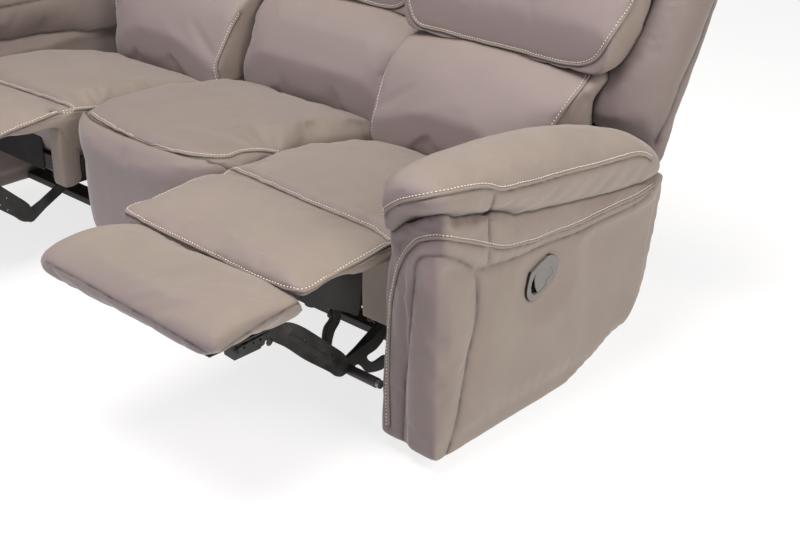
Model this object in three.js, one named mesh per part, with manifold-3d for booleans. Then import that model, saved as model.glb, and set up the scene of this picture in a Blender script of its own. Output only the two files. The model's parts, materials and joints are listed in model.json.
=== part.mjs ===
// Three-seat reclining sofa: a fixed centre seat between two end seats whose footrests fold out.
// Millimetres, +Z up, the seats face -Y. The origin is on the floor, in the middle of the box
// round the sofa with both footrests out.
import * as THREE from 'three';
import { mergeVertices } from 'three/addons/utils/BufferGeometryUtils.js';
import Module from 'manifold-3d';

const wasm = await Module();
wasm.setup();

// Driving sizes of the whole sofa
const seatPitch = 585;            // from one seat's middle to the next
const seatGap = 7;                // between neighbouring seats
const armGap = 6;                 // between a seat and the arm beside it
const seatTop = 450;              // seat height at the front edge
const seatDepth = 512;            // front seam to the back cushion, end seats
const backTop = 1008;             // top of the head cushions
const armLength = 752;
const armWidth = 156;
const armTop = 641;
const floorGap = 38;              // under the arms
const slideTravel = 78;           // how far an end seat slides back as its footrest closes
const seatGapHalf = seatGap / 2;
const clearance = 0.3;            // between pieces that touch
const overrun = 5;                // how far a cut runs past the piece

// Places that follow from them
const seatHalf = seatPitch / 2 - seatGapHalf;
const armInner = seatPitch * 1.5 + armGap;
const armOuter = armInner + armWidth;
const frontSeam = 64;             // where the seat cushion meets its leg pad, from the arm's front

// Steel
const sheet = 3;                  // thickness of the mechanism's plates
const plateGap = 1;               // between plates that pass each other
const linkSpacing = 182;          // seat middle to the inside of the carriage plates
const studRadius = 6;
const holeRadius = studRadius + 0.5 * plateGap;
const tubeRadius = 11;
const tubeHole = tubeRadius + 0.5 * plateGap;

const materials = {
  cover: { color: 0xa5988c, roughness: 0.8, metalness: 0 },
  coverShade: { color: 0x9a8d82, roughness: 0.82, metalness: 0 },
  steel: { color: 0x26262a, roughness: 0.45, metalness: 0.8 },
  bright: { color: 0x77777c, roughness: 0.35, metalness: 0.9 },
  wood: { color: 0xb08d62, roughness: 0.7, metalness: 0 },
  lining: { color: 0x1d1b1c, roughness: 0.95, metalness: 0 },
  plastic: { color: 0x55555a, roughness: 0.4, metalness: 0.3 },
};

const sofa = new THREE.Group();
const parts = new THREE.Group();
sofa.add(parts);

function addPart(name, geometry, look, x = 0) {
  const mesh = new THREE.Mesh(geometry, new THREE.MeshStandardMaterial(materials[look]));
  mesh.name = name;
  mesh.position.x = x;
  parts.add(mesh);
}

// Joining and cutting
function toSolid(geometry) {
  const bare = geometry.clone();
  for (const name of Object.keys(bare.attributes)) {
    if (name !== 'position') bare.deleteAttribute(name);
  }
  const merged = mergeVertices(bare);
  return new wasm.Manifold(new wasm.Mesh({
    numProp: 3,
    vertProperties: new Float32Array(merged.attributes.position.array),
    triVerts: new Uint32Array(merged.index.array),
  }));
}

function toGeometry(solid) {
  const mesh = solid.getMesh();
  const geometry = new THREE.BufferGeometry();
  geometry.setAttribute('position', new THREE.BufferAttribute(mesh.vertProperties, 3));
  geometry.setIndex(new THREE.BufferAttribute(mesh.triVerts, 1));
  geometry.computeVertexNormals();
  return geometry;
}

function join(geometries) {
  return toGeometry(geometries.map(toSolid).reduce((whole, next) => whole.add(next)));
}

function cut(geometry, cutters) {
  return toGeometry(cutters.map(toSolid).reduce((whole, next) => whole.subtract(next), toSolid(geometry)));
}

function volumeOf(positions, index) {
  const corner = [new THREE.Vector3(), new THREE.Vector3(), new THREE.Vector3()];
  let sum = 0;
  for (let i = 0; i < index.length; i += 3) {
    corner.forEach((point, k) => point.fromArray(positions, index[i + k] * 3));
    sum += corner[0].dot(corner[1].clone().cross(corner[2]));
  }
  return sum;
}

function closedGeometry(positions, index) {
  if (volumeOf(positions, index) < 0) index.reverse();
  const geometry = new THREE.BufferGeometry();
  geometry.setAttribute('position', new THREE.Float32BufferAttribute(positions, 3));
  geometry.setIndex(index);
  geometry.computeVertexNormals();
  return geometry;
}

// The same shape for the other side of the sofa
function mirrored(geometry) {
  const bare = mergeVertices(geometry.clone().deleteAttribute('normal').deleteAttribute('uv'));
  const positions = Array.from(bare.attributes.position.array);
  for (let i = 0; i < positions.length; i += 3) positions[i] = -positions[i];
  return closedGeometry(positions, Array.from(bare.index.array));
}

// One piece on the right and its mirror image on the left
function addPair(name, geometry, look, x = 0) {
  addPart(`${name}_right`, geometry, look, x);
  addPart(`${name}_left`, mirrored(geometry), look, -x);
}

// A closed skin through rings of the same number of points, with flat ends
function loft(rings) {
  const count = rings[0].length;
  const positions = rings.flatMap((ring) => ring.flatMap((point) => point.toArray()));
  const index = [];
  for (let ring = 0; ring + 1 < rings.length; ring += 1) {
    for (let i = 0; i < count; i += 1) {
      const a = ring * count + i;
      const b = ring * count + ((i + 1) % count);
      index.push(a, b, b + count, a, b + count, a + count);
    }
  }
  const sideways = new Set(rings[0].map((point) => point.x)).size === 1;
  const flat = (ring) => ring.map((point) => new THREE.Vector2(sideways ? point.y : point.x, point.z));
  const last = (rings.length - 1) * count;
  for (const [a, b, c] of capFaces(flat(rings[0]))) index.push(c, b, a);
  for (const [a, b, c] of capFaces(flat(rings[rings.length - 1]))) index.push(last + a, last + b, last + c);
  return closedGeometry(positions, index);
}

function capFaces(points) {
  const clockwise = THREE.ShapeUtils.isClockWise(points);
  const faces = THREE.ShapeUtils.triangulateShape(points, []);
  const turned = THREE.ShapeUtils.area(faces[0].map((i) => points[i])) < 0;
  return faces.map((face) => (turned === clockwise ? face : [...face].reverse()));
}

// An outline given as shares of a box: depth runs back along +Y, height up along +Z
function outline(shares, box) {
  return shares.map(([back, up]) => new THREE.Vector2(box.y + back * box.depth, box.z + up * box.height));
}

function smooth(points, count) {
  const flat = points.map((p) => new THREE.Vector3(p.x, p.y, 0));
  const curve = new THREE.CatmullRomCurve3(flat, true, 'centripetal');
  return curve.getSpacedPoints(count).slice(0, count).map((p) => new THREE.Vector2(p.x, p.y));
}

// How a cushion's edge rolls over towards its side seams: [place, share of the roll drawn in]
const edgeRollShares = [[1, 1], [0.975, 0.62], [0.93, 0.32], [0.84, 0.12], [0.6, 0.02], [0.25, 0]];

// A stuffed form: a side outline carried across the seat, crowned in the middle, its edges rolled
function cushion(points, { half, roll, crown = 0, shift = null }) {
  const low = Math.min(...points.map((p) => p.y));
  const high = Math.max(...points.map((p) => p.y));
  const front = Math.min(...points.map((p) => p.x));
  const back = Math.max(...points.map((p) => p.x));
  const middle = new THREE.Vector2((front + back) / 2, (low + high) / 2);
  const stations = [...edgeRollShares.map(([u, r]) => [-u, r]), ...[...edgeRollShares].reverse()];
  const rings = stations.map(([u, rolled]) => points.map((p) => {
    const inset = roll * rolled;
    const along = 1 - inset / ((back - front) / 2);
    const up = 1 - inset / ((high - low) / 2);
    const lift = p.y > middle.y ? crown * (1 - u * u) * ((p.y - middle.y) / (high - middle.y)) : 0;
    const place = new THREE.Vector3(
      u * half,
      middle.x + (p.x - middle.x) * along,
      middle.y + (p.y - middle.y) * up + lift,
    );
    return shift ? shift(place) : place;
  }));
  return loft(rings);
}

// Plates stand in the YZ plane, from x = at outwards
function plate(shape, at, thickness = sheet) {
  const run = { depth: thickness, bevelEnabled: false, curveSegments: 8 };
  const geometry = new THREE.ExtrudeGeometry(shape, run);
  const turn = new THREE.Matrix4().makeBasis(
    new THREE.Vector3(0, 1, 0), new THREE.Vector3(0, 0, 1), new THREE.Vector3(1, 0, 0));
  return geometry.applyMatrix4(turn).translate(at, 0, 0);
}

function circle(place, radius) {
  return new THREE.Path().absarc(place.x, place.y, radius, 0, Math.PI * 2, true);
}

function rod(place, radius, from, to, sides = 10) {
  const geometry = new THREE.CylinderGeometry(radius, radius, to - from, sides);
  return geometry.rotateZ(Math.PI / 2).translate((from + to) / 2, place.x, place.y);
}

function board(x0, x1, y0, y1, z0, z1) {
  const geometry = new THREE.BoxGeometry(x1 - x0, y1 - y0, z1 - z0);
  return geometry.translate((x0 + x1) / 2, (y0 + y1) / 2, (z0 + z1) / 2);
}

// A flat link between two pivots, wider in its middle
function linkShape(a, b, endRadius, waist) {
  const along = b.clone().sub(a).normalize();
  const side = new THREE.Vector2(-along.y, along.x);
  const angle = Math.atan2(along.y, along.x);
  const near = 0.26;
  const far = 0.74;
  const shape = new THREE.Shape();
  const beside = (share, reach) => a.clone().lerp(b, share).addScaledVector(side, reach);
  shape.absarc(a.x, a.y, endRadius, angle + Math.PI / 2, angle + Math.PI * 1.5, false);
  for (const share of [near, far]) {
    const point = beside(share, -waist);
    shape.lineTo(point.x, point.y);
  }
  shape.absarc(b.x, b.y, endRadius, angle - Math.PI / 2, angle + Math.PI / 2, false);
  for (const share of [far, near]) {
    const point = beside(share, waist);
    shape.lineTo(point.x, point.y);
  }
  shape.closePath();
  return shape;
}

function polygon(points) {
  return new THREE.Shape(points);
}

// The arms: three rolls of padding over a boxed side, with a padded panel on the front
const armStations = [
  // share of the arm's length; shares of its height: underside (none past the ends), inner and
  // outer ends of the crease below the pillow, and the pillow's top; share of the pillow's width
  [-0.046, null, 0.862, 0.925, 0.94, 0.5],
  [-0.036, null, 0.83, 0.915, 0.962, 0.72],
  [-0.012, null, 0.79, 0.9, 0.982, 0.88],
  [0, 0, 0.783, 0.896, 0.986, 0.91],
  [0.06, 0, 0.768, 0.873, 0.998, 0.98],
  [0.15, 0, 0.764, 0.838, 1, 1],
  [0.29, 0, 0.76, 0.791, 0.992, 1],
  [0.46, 0, 0.748, 0.761, 0.968, 1],
  [0.57, 0.006, 0.737, 0.742, 0.946, 1],
  [0.69, 0.05, 0.72, 0.72, 0.915, 1],
  [0.85, 0.122, 0.694, 0.694, 0.86, 0.97],
  [0.915, 0.2, 0.682, 0.682, 0.828, 0.95],
  [0.945, 0.265, 0.678, 0.678, 0.812, 0.94],
  [1, 0.6, 0.671, 0.671, 0.768, 0.87],
  [1.02, null, 0.69, 0.69, 0.74, 0.7],
];
const armRollBulge = 13;
const armRollShares = [[0, 0], [0.77, 0], [0.81, 0.6], [0.88, 1], [0.95, 0.75], [0.985, 0.1]];
const armTopShares = [0.87, 0.5, 0.13];
const armHeight = armTop - floorGap;
const armZ = (share) => floorGap + share * armHeight;

// The crease runs straight across the arm from its inner to its outer end
function creaseHeight(x, inner, outer) {
  const across = THREE.MathUtils.clamp((x - armInner) / armWidth, 0, 1);
  return armZ(inner + (outer - inner) * across);
}

function armBody() {
  const stations = armStations.filter(([, low]) => low !== null);
  const rings = stations.map(([along, low, inner, outer]) => {
    const y = along * armLength;
    const floorLine = armZ(low);
    const top = (x) => creaseHeight(x, inner, outer) - clearance;
    const tall = top(armOuter) - floorLine;
    const outside = armRollShares.map(([up, out]) => (
      new THREE.Vector3(armOuter + out * armRollBulge, y, floorLine + up * tall)));
    const across = armTopShares.map((share) => armInner + share * armWidth);
    const edge = floorLine + (top(armInner) - floorLine) * 0.97;
    return [
      new THREE.Vector3(armInner, y, floorLine), ...outside,
      ...across.map((x) => new THREE.Vector3(x, y, top(x))), new THREE.Vector3(armInner, y, edge),
    ];
  });
  return loft(rings);
}

// The pillow on top hangs over both sides of the arm
const pillowOverhang = { inner: 4, outer: 22 };
const pillowRoundShares = [
  [-0.46, 0.05], [-0.5, 0.3], [-0.49, 0.56], [-0.42, 0.8], [-0.26, 0.95], [0, 1],
  [0.26, 0.96], [0.42, 0.82], [0.49, 0.58], [0.5, 0.3], [0.46, 0.06], [0.3, 0], [0, 0], [-0.3, 0],
];

function armPillow() {
  const width = armWidth + pillowOverhang.inner + pillowOverhang.outer;
  const middle = armInner - pillowOverhang.inner + width / 2;
  const rings = armStations.map(([along, , inner, outer, top, wide]) => (
    pillowRoundShares.map(([across, up]) => {
      const x = middle + across * width * wide;
      const low = creaseHeight(x, inner, outer) + clearance;
      return new THREE.Vector3(x, along * armLength, low + up * (armZ(top) - low));
    })));
  return loft(rings);
}

// The padded panel on the arm's front, rounded over its top inner corner
const frontPanelWidthShare = 0.47;
const frontPanelTopShare = 0.735;
const frontPanelDepth = 13;
const frontPanelEdge = 6;
const frontPanelCorner = 34;

function armFrontPanel() {
  const left = armOuter - armWidth * frontPanelWidthShare + frontPanelEdge;
  const right = armOuter - frontPanelEdge;
  const low = floorGap + 2 * frontPanelEdge;
  const high = armZ(frontPanelTopShare);
  const shape = new THREE.Shape();
  shape.moveTo(left, low);
  shape.lineTo(right, low);
  shape.lineTo(right, high);
  const corner = new THREE.Vector2(left + frontPanelCorner, high - frontPanelCorner);
  shape.absarc(corner.x, corner.y, frontPanelCorner, Math.PI / 2, Math.PI, false);
  shape.closePath();
  const depth = frontPanelDepth - frontPanelEdge - clearance;
  const geometry = new THREE.ExtrudeGeometry(shape, {
    depth, bevelSize: frontPanelEdge, bevelThickness: frontPanelEdge / 2, bevelSegments: 2, curveSegments: 6,
  });
  return geometry.rotateX(Math.PI / 2).translate(0, -clearance - frontPanelEdge / 2, 0);
}

// The release handle: an egg-shaped cup let into the arm's outer side, with a flip lever in it
const cupLength = 116;
const cupWidth = 66;
const cupTilt = THREE.MathUtils.degToRad(41);
const cupFlange = 3;
const cupDepth = 29;
const cupWall = 2.5;
const cupRim = 6;
const cupPlaceShares = [0.415, 0.486];              // of the arm's length and height
const cupPlace = new THREE.Vector2(armLength * cupPlaceShares[0], armZ(cupPlaceShares[1]));

const eggWidestShare = -0.12;
const eggTaperShare = 0.12;

function eggShape(length, width) {
  const points = [];
  const count = 20;
  for (let i = 0; i < count; i += 1) {
    const angle = (i / count) * Math.PI * 2;
    const along = Math.cos(angle);
    const taper = 1 - eggTaperShare * (along - eggWidestShare);
    points.push(new THREE.Vector2(along * length / 2, Math.sin(angle) * taper * width / 2));
  }
  const origin = new THREE.Vector2();
  return polygon(points.map((p) => p.rotateAround(origin, cupTilt).add(cupPlace)));
}

function handleCup() {
  const egg = (wider) => eggShape(cupLength + wider, cupWidth + wider);
  const lip = cupFlange - clearance;
  const body = plate(egg(0), armOuter - cupDepth, cupDepth + lip);
  const flange = plate(egg(cupRim), armOuter + clearance, lip);
  const hollow = plate(egg(-2 * cupRim), armOuter - cupDepth + cupWall, cupDepth + overrun);
  return cut(join([body, flange]), [hollow]);
}

function cupPocket() {
  const shape = eggShape(cupLength + 2 * clearance, cupWidth + 2 * clearance);
  return plate(shape, armOuter - cupDepth - clearance, cupDepth + overrun);
}

const leverLength = 84;
const leverWidth = 25;
const leverThickness = 7;
const leverPivotShare = 0.36;     // along the cup, from its middle towards the upper rear end
const leverPinRadius = 3.5;
const leverPinShare = 0.28;       // half the pin's length, of the cup's width inside the rim

// The lever turns on a pin across the cup, so its lower end swings outwards
function flipLever() {
  const direction = new THREE.Vector2(Math.cos(cupTilt), Math.sin(cupTilt));
  const pivot = cupPlace.clone().addScaledVector(direction, cupLength * leverPivotShare - cupRim);
  const tip = pivot.clone().addScaledVector(direction, leverWidth - leverLength);
  const end = leverWidth / 2;
  const blade = plate(linkShape(pivot, tip, end, end), armOuter - leverThickness, leverThickness);
  const pinLength = 2 * leverPinShare * (cupWidth - 2 * cupRim);
  const pin = new THREE.CylinderGeometry(leverPinRadius, leverPinRadius, pinLength, 12);
  pin.rotateX(Math.PI / 2 + cupTilt).translate(armOuter - leverThickness, pivot.x, pivot.y);
  return join([blade, pin]);
}

addPair('arm_body', cut(armBody(), [cupPocket()]), 'cover');
addPair('arm_pillow', cut(armPillow(), [armBody().translate(0, 0, 2 * clearance)]), 'cover');
addPair('arm_front_panel', armFrontPanel(), 'cover');
addPair('handle_cup', handleCup(), 'plastic');
addPair('flip_lever', flipLever(), 'plastic');

// The base: two rails between the arms, and feet
const frontRail = { y: 285, depth: 56, z: 36, height: 18 };
const rearRail = { y: 600, depth: 40, z: 40, height: 110 };
const footRadius = 22;
const footTaper = 3;
const frontFootInset = 60;

function railBoard(rail) {
  const reach = armInner - clearance;
  return board(-reach, reach, rail.y, rail.y + rail.depth, rail.z, rail.z + rail.height);
}

function foot(y, top, x) {
  const height = top - clearance;
  const geometry = new THREE.CylinderGeometry(footRadius, footRadius - footTaper, height, 20);
  return geometry.rotateX(Math.PI / 2).translate(x, y, height / 2);
}

addPart('base_rail_front', railBoard(frontRail), 'wood');
addPart('base_rail_rear', railBoard(rearRail), 'wood');
addPair('foot_front', foot(frontFootInset, floorGap, armInner + armWidth / 2), 'plastic');
const rearFootY = rearRail.y + rearRail.depth / 2;
addPair('foot_rear', foot(rearFootY, rearRail.z, seatPitch * 1.5 - footRadius), 'plastic');

// The base plates of an end seat's mechanism: a low strip, a riser and the bar the seat rolls on
const rollerRadius = 9;
const rollerHeight = 204;
const frontRoller = 250;
const rearRoller = 520;
const stripHeight = 7;
const riserStart = 345;
const riserEnd = 545;
const guideDepth = 17;
const guideOverrun = 24;
const basePlateInner = linkSpacing + 4 * (sheet + plateGap);

function basePlate() {
  const front = frontRail.y + frontRail.depth + clearance;
  const rear = rearRail.y - clearance;
  const low = floorGap - plateGap;
  const strip = low + stripHeight;
  const top = rollerHeight - rollerRadius - clearance;
  const under = top - guideDepth;
  const start = frontRoller - guideOverrun;
  const end = rearRoller + slideTravel + guideOverrun;
  return polygon([
    [front, low], [rear, low], [rear, strip], [riserEnd, strip], [riserEnd, under], [end, under],
    [end, top], [start, top], [start, under], [riserStart, under], [riserStart, strip], [front, strip],
  ].map(([y, z]) => new THREE.Vector2(y, z)));
}

addPair('base_plate_outer', plate(basePlate(), basePlateInner), 'steel', seatPitch);
addPair('base_plate_inner', plate(basePlate(), -basePlateInner - sheet), 'steel', seatPitch);

// The seat's carriage: two steel plates on rollers, joined by a tube
const carriageFront = 78;
const carriageLow = 192;
const frameLow = 262;             // underside of the wooden seat frame
const frameHigh = 300;
const foldPivot = new THREE.Vector2(141, 220);      // where the drive links turn on the carriage
const lowPivot = new THREE.Vector2(-5, 147);        // drive link to footrest link
const restPivot = new THREE.Vector2(-238, 304);     // footrest link to footrest
const reclinePivot = new THREE.Vector2(668, 286);   // where the back turns on the carriage
const earRadius = 20;

function carriage() {
  const rearEnd = reclinePivot.x;
  const top = frameLow - clearance;
  const studs = [foldPivot, reclinePivot];
  const drop = (top - carriageLow) / 2;
  const earTop = reclinePivot.y + earRadius;
  const side = polygon([
    [carriageFront, carriageLow + drop], [carriageFront + drop, carriageLow],
    [rearRoller + earRadius, carriageLow], [rearEnd - earRadius, top - earRadius],
    [rearEnd + earRadius, top], [rearEnd + earRadius, earTop],
    [rearEnd - earRadius, earTop], [rearEnd - earRadius, top], [carriageFront, top],
  ].map(([y, z]) => new THREE.Vector2(y, z)));
  const pieces = [];
  for (const way of [1, -1]) {
    pieces.push(plate(side, way > 0 ? linkSpacing : -linkSpacing - sheet));
    const face = linkSpacing + sheet / 2;
    for (const stud of studs) {
      const end = linkSpacing + 2 * sheet + 1.5 * plateGap;
      pieces.push(rod(stud, studRadius, Math.min(way * face, way * end), Math.max(way * face, way * end)));
    }
    for (const y of [frontRoller, rearRoller]) {
      const place = new THREE.Vector2(y, rollerHeight);
      const inside = way * face;
      const wheel = way * (basePlateInner - plateGap);
      const end = way * (basePlateInner + sheet + plateGap);
      pieces.push(rod(place, studRadius, Math.min(inside, end), Math.max(inside, end)));
      pieces.push(rod(place, rollerRadius, Math.min(wheel, end), Math.max(wheel, end), 20));
    }
  }
  const crossTube = new THREE.Vector2((frontRoller + rearRoller) / 2, (carriageLow + top) / 2);
  pieces.push(rod(crossTube, tubeRadius, -linkSpacing - sheet / 2, linkSpacing + sheet / 2));
  return join(pieces);
}

addPair('carriage', carriage(), 'steel', seatPitch);

// The wooden seat frame on the carriage, its springs, and the panels below its front
const frameBoard = 20;
const frameRail = 28;
const frameInset = 6;             // of the frame from the cushion's side
const frameFront = frontSeam - frameInset / 3;
const frameRear = 610;
const frameHalf = seatHalf - frameInset;

function seatFrame() {
  return join([
    board(-frameHalf, frameHalf, frameFront, frameFront + frameRail, frameLow, frameHigh),
    board(-frameHalf, frameHalf, frameRear - frameRail, frameRear, frameLow, frameHigh),
    board(-frameHalf, frameBoard - frameHalf, frameFront, frameRear, frameLow, frameHigh),
    board(frameHalf - frameBoard, frameHalf, frameFront, frameRear, frameLow, frameHigh),
  ]);
}

// One wire bent to and fro from side to side of the frame
const wireRadius = 2.2;
const springRows = 8;
const springRunShares = [-0.9, 0, 0.9];
const wireSides = 5;

function springWire(front, rear, height) {
  const reach = frameHalf - frameBoard / 2;
  const step = (rear - front) / springRows;
  const points = [];
  for (let row = 0; row < springRows; row += 1) {
    const way = row % 2 ? -1 : 1;
    const y = front + (row + 0.5) * step;
    for (const share of springRunShares) points.push(new THREE.Vector3(way * share * reach, y, height));
    if (row + 1 < springRows) points.push(new THREE.Vector3(way * reach, y + step / 2, height));
  }
  const path = new THREE.CatmullRomCurve3(points, false, 'centripetal');
  const section = [];
  for (let i = 0; i < wireSides; i += 1) {
    const angle = (i / wireSides) * Math.PI * 2;
    section.push(new THREE.Vector2(Math.cos(angle) * wireRadius, Math.sin(angle) * wireRadius));
  }
  const steps = springRows * 6;
  return new THREE.ExtrudeGeometry(polygon(section), { extrudePath: path, steps, bevelEnabled: false });
}

const springHeight = frameHigh + clearance + wireRadius;
const fasciaWidth = 94;
const fasciaDepth = 18;
const fasciaLow = 252;
const fasciaHigh = 344;
const liningDepth = 3;
const liningHalf = linkSpacing - frameInset;

addPair('seat_frame', seatFrame(), 'wood', seatPitch);
addPair('seat_springs', springWire(frameFront, frameRear, springHeight), 'bright', seatPitch);
addPair('seat_fascia', board(
  seatHalf - fasciaWidth, seatHalf, frameFront - fasciaDepth - clearance, frameFront - clearance,
  fasciaLow, fasciaHigh), 'cover', seatPitch);
addPair('front_lining', board(
  -liningHalf, liningHalf, frameFront - liningDepth - clearance, frameFront - clearance,
  fasciaLow, fasciaHigh), 'lining', seatPitch);

// Seat cushion with the sewn seam to its leg pad, which ends in a mitre where the pad folds
const seatRoll = 30;
const seatCrown = 5;
const legFold = new THREE.Vector2(-100, 434);       // the fold line on top of the leg pad
const cushionLow = springHeight + wireRadius * Math.cos(Math.PI / wireSides) + clearance;
const legPadLow = 394;                              // underside of the leg pad
const mitre = legFold.y - legPadLow;
const cushionShares = [
  // shares of the seat's depth behind the front seam, and of the cushion's height
  [0.01, 0.93], [0.05, 0.995], [0.25, 1.02], [0.5, 0.96], [0.8, 0.74], [0.97, 0.5],
  [1.06, 0.26], [1.08, 0.1], [1.05, 0], [0.55, 0], [0.02, 0], [0.006, 0.2],
];

const bridgeUnderShares = [[0.98, 0.31], [0.55, 0.36], [0.36, 0.52]];
const bridgeTopShares = [[0.12, 0.96], [0.5, 1], [0.85, 1.005]];

function seatCushion() {
  const box = { y: frontSeam, z: cushionLow, depth: seatDepth, height: seatTop - cushionLow };
  const bridge = { y: legFold.x, z: box.z, depth: frontSeam - legFold.x, height: box.height };
  const points = [
    ...outline(bridgeUnderShares, bridge),
    new THREE.Vector2(legFold.x + mitre, legPadLow + overrun),
    new THREE.Vector2(legFold.x + clearance, legFold.y - clearance),
    ...outline(bridgeTopShares, bridge),
    ...outline(cushionShares, box),
  ];
  return cushion(points, { half: seatHalf, roll: seatRoll, crown: seatCrown });
}

addPair('seat_cushion', seatCushion(), 'cover', seatPitch);

// The leg pad that bridges to the footrest: it turns on the cover's fold line
const legPadReach = 108;
const footrestHalf = 281;

const legPadRoll = 12;
const legPadCrown = 4;
const legPadShares = [
  // shares of the reach forward of the fold, and of the thickness
  [0.3, 1.1], [0.7, 1.08], [0.95, 0.95], [1.014, 0.55], [0.9, 0.2], [0.38, 0],
];

function legPad() {
  const box = { y: legFold.x, z: legPadLow, depth: -legPadReach, height: mitre };
  const fold = new THREE.Vector2(legFold.x - clearance, legFold.y - clearance);
  const form = { half: footrestHalf, roll: legPadRoll, crown: legPadCrown };
  return cushion([fold, ...outline(legPadShares, box)], form);
}

addPair('leg_pad', legPad(), 'cover', seatPitch);

// The footrest: a pad on a steel tray with brackets
const footrestRear = -194;
const footrestLength = 238;
const footrestBoardLow = 354;
const footrestBoard = 3;
const footrestThick = 68;
const footrestShares = [
  // shares of the length forward of the rear edge, and of the thickness
  [0.0, 0.24], [0.02, 0.5], [0.1, 0.66], [0.25, 0.9], [0.52, 1], [0.8, 0.86], [0.96, 0.58],
  [1.0, 0.3], [0.97, 0.08], [0.88, 0], [0.5, 0], [0.08, 0.02],
];
const footrestRoll = 22;
const footrestCrown = 3;
const footrestFrameShares = [0.09, 0.87];           // of the footrest's length, rear and front
const footrestBoardShare = 0.88;                    // of the footrest's width
const bracketHeight = 66;
const bracketLengthShares = [0.0, 0.46];

function footrestPad() {
  const low = footrestBoardLow + footrestBoard + clearance;
  const box = { y: footrestRear, z: low, depth: -footrestLength, height: footrestThick };
  const form = { half: footrestHalf, roll: footrestRoll, crown: footrestCrown };
  const pad = cushion(smooth(outline(footrestShares, box), 20), form);
  const under = board(-seatPitch, seatPitch, -seatPitch, 0, 0, low);
  return cut(pad, [under]);
}

function footrestFrame() {
  const [rear, front] = footrestFrameShares.map((share) => footrestRear - footrestLength * share);
  const top = footrestBoardLow + footrestBoard;
  const half = footrestHalf * footrestBoardShare;
  const pieces = [board(-half, half, front, rear, footrestBoardLow, top)];
  const bracketPlane = linkSpacing + 3 * (sheet + plateGap);
  const [back, ahead] = bracketLengthShares.map((share) => rear - share * footrestLength);
  const bottom = footrestBoardLow - bracketHeight;
  const slant = bracketHeight / 3;
  const shape = polygon([
    new THREE.Vector2(back, footrestBoardLow + sheet), new THREE.Vector2(ahead, footrestBoardLow + sheet),
    new THREE.Vector2(ahead, bottom + slant), new THREE.Vector2(ahead + slant, bottom),
    new THREE.Vector2(back - slant, bottom), new THREE.Vector2(back, bottom + slant),
  ]);
  shape.holes.push(circle(restPivot, holeRadius));
  for (const plane of [bracketPlane, -bracketPlane - sheet]) pieces.push(plate(shape, plane));
  return join(pieces);
}

addPair('footrest_pad', footrestPad(), 'cover', seatPitch);
addPair('footrest_frame', footrestFrame(), 'steel', seatPitch);

// Drive links with the torsion tube, and the wide links that carry the footrest
const driveEnd = 19;
const driveWaist = 15;
const footLinkEnd = 19;
const footLinkWaist = 29;
const crossRodRadius = 7;

function driveLinks() {
  const plane = linkSpacing + sheet + plateGap;
  const shape = linkShape(foldPivot, lowPivot, driveEnd, driveWaist);
  shape.holes.push(circle(foldPivot, holeRadius));
  const outerEnd = seatHalf - armGap / 2;
  const innerEnd = linkSpacing + 3 * (sheet + plateGap) - clearance;
  return join([
    plate(shape, plane), plate(shape, -plane - sheet), rod(lowPivot, tubeRadius, -innerEnd, outerEnd, 16),
  ]);
}

function footrestLinks() {
  const plane = linkSpacing + 2 * (sheet + plateGap);
  const shape = linkShape(lowPivot, restPivot, footLinkEnd, footLinkWaist);
  shape.holes.push(circle(lowPivot, tubeHole));
  const pieces = [plate(shape, plane), plate(shape, -plane - sheet)];
  const studEnd = plane + 2 * sheet + 1.5 * plateGap;
  for (const way of [1, -1]) {
    const ends = [way * (plane + sheet / 2), way * studEnd];
    pieces.push(rod(restPivot, studRadius, Math.min(...ends), Math.max(...ends)));
  }
  pieces.push(rod(restPivot, crossRodRadius, -plane - sheet / 2, plane + sheet / 2));
  return join(pieces);
}

addPair('drive_links', driveLinks(), 'bright', seatPitch);
addPair('footrest_links', footrestLinks(), 'steel', seatPitch);

// The backs lean back; the centre one stands where the end ones do with their footrests closed
const backLean = THREE.MathUtils.degToRad(22);
const backFoot = new THREE.Vector2(694, 340);       // the lower front corner of the back frame
const backFrameThick = 34;
const backFrameTop = 962;
const lean = (z) => backFoot.x + (z - backFoot.y) * Math.tan(backLean);

const lumbarLow = 368;
const lumbarHigh = 648;
const lumbarShares = [
  // shares of the cushion's height, and how far its face stands before the frame, in its thickness
  [0.25, -0.1], [0.03, 0.0], [0.02, 0.5], [0.0, 0.82], [0.14, 1], [0.3, 1.0], [0.46, 0.98], [0.63, 0.95],
  [0.8, 0.88], [0.94, 0.72], [1.0, 0.46], [0.99, 0.0], [0.75, -0.1], [0.5, -0.1],
];
const lumbarThick = 152;
const headLow = 654;
const headShares = [
  [0.03, -0.1], [0.02, 0.3], [0.0, 0.78], [0.06, 0.98], [0.2, 1], [0.4, 0.93], [0.6, 0.84], [0.78, 0.7],
  [0.93, 0.42], [1.0, 0.1], [1.0, -0.25], [0.9, -0.3], [0.6, -0.1], [0.3, -0.1],
];
const headThick = 137;
const backFrameDepth = backFrameThick / Math.cos(backLean);
const outlinePoints = 22;

// A back cushion's outline, measured from the leaning face of the frame
function backOutline(shares, low, high, thick, back) {
  return smooth(shares.map(([up, out]) => {
    const z = low + up * (high - low);
    return new THREE.Vector2(lean(z) - out * thick + back, z);
  }), outlinePoints);
}

// Everything behind the cushions: the frame's leaning face, the step over its top, then the seam
// to the rear cover. The same line, moved by the clearance, trims the cushions and the cover.
function seamLine(back, gap) {
  const step = backFrameTop + clearance;
  const at = (z, behind) => new THREE.Vector2(lean(z) + behind + back + gap, z);
  const half = backFrameDepth / 2;
  return { low: at(0, 0), face: at(step, 0), step: at(step, half), high: at(backTop * 2, half) };
}

function slab(points) {
  return plate(polygon(points), -seatPitch, 2 * seatPitch);
}

function behindCushions(back) {
  const line = seamLine(back, -clearance);
  const far = line.high.x + backTop;
  const rear = [new THREE.Vector2(far, 0), new THREE.Vector2(far, line.high.y)];
  return slab([line.low, ...rear, line.high, line.step, line.face]);
}

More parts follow.
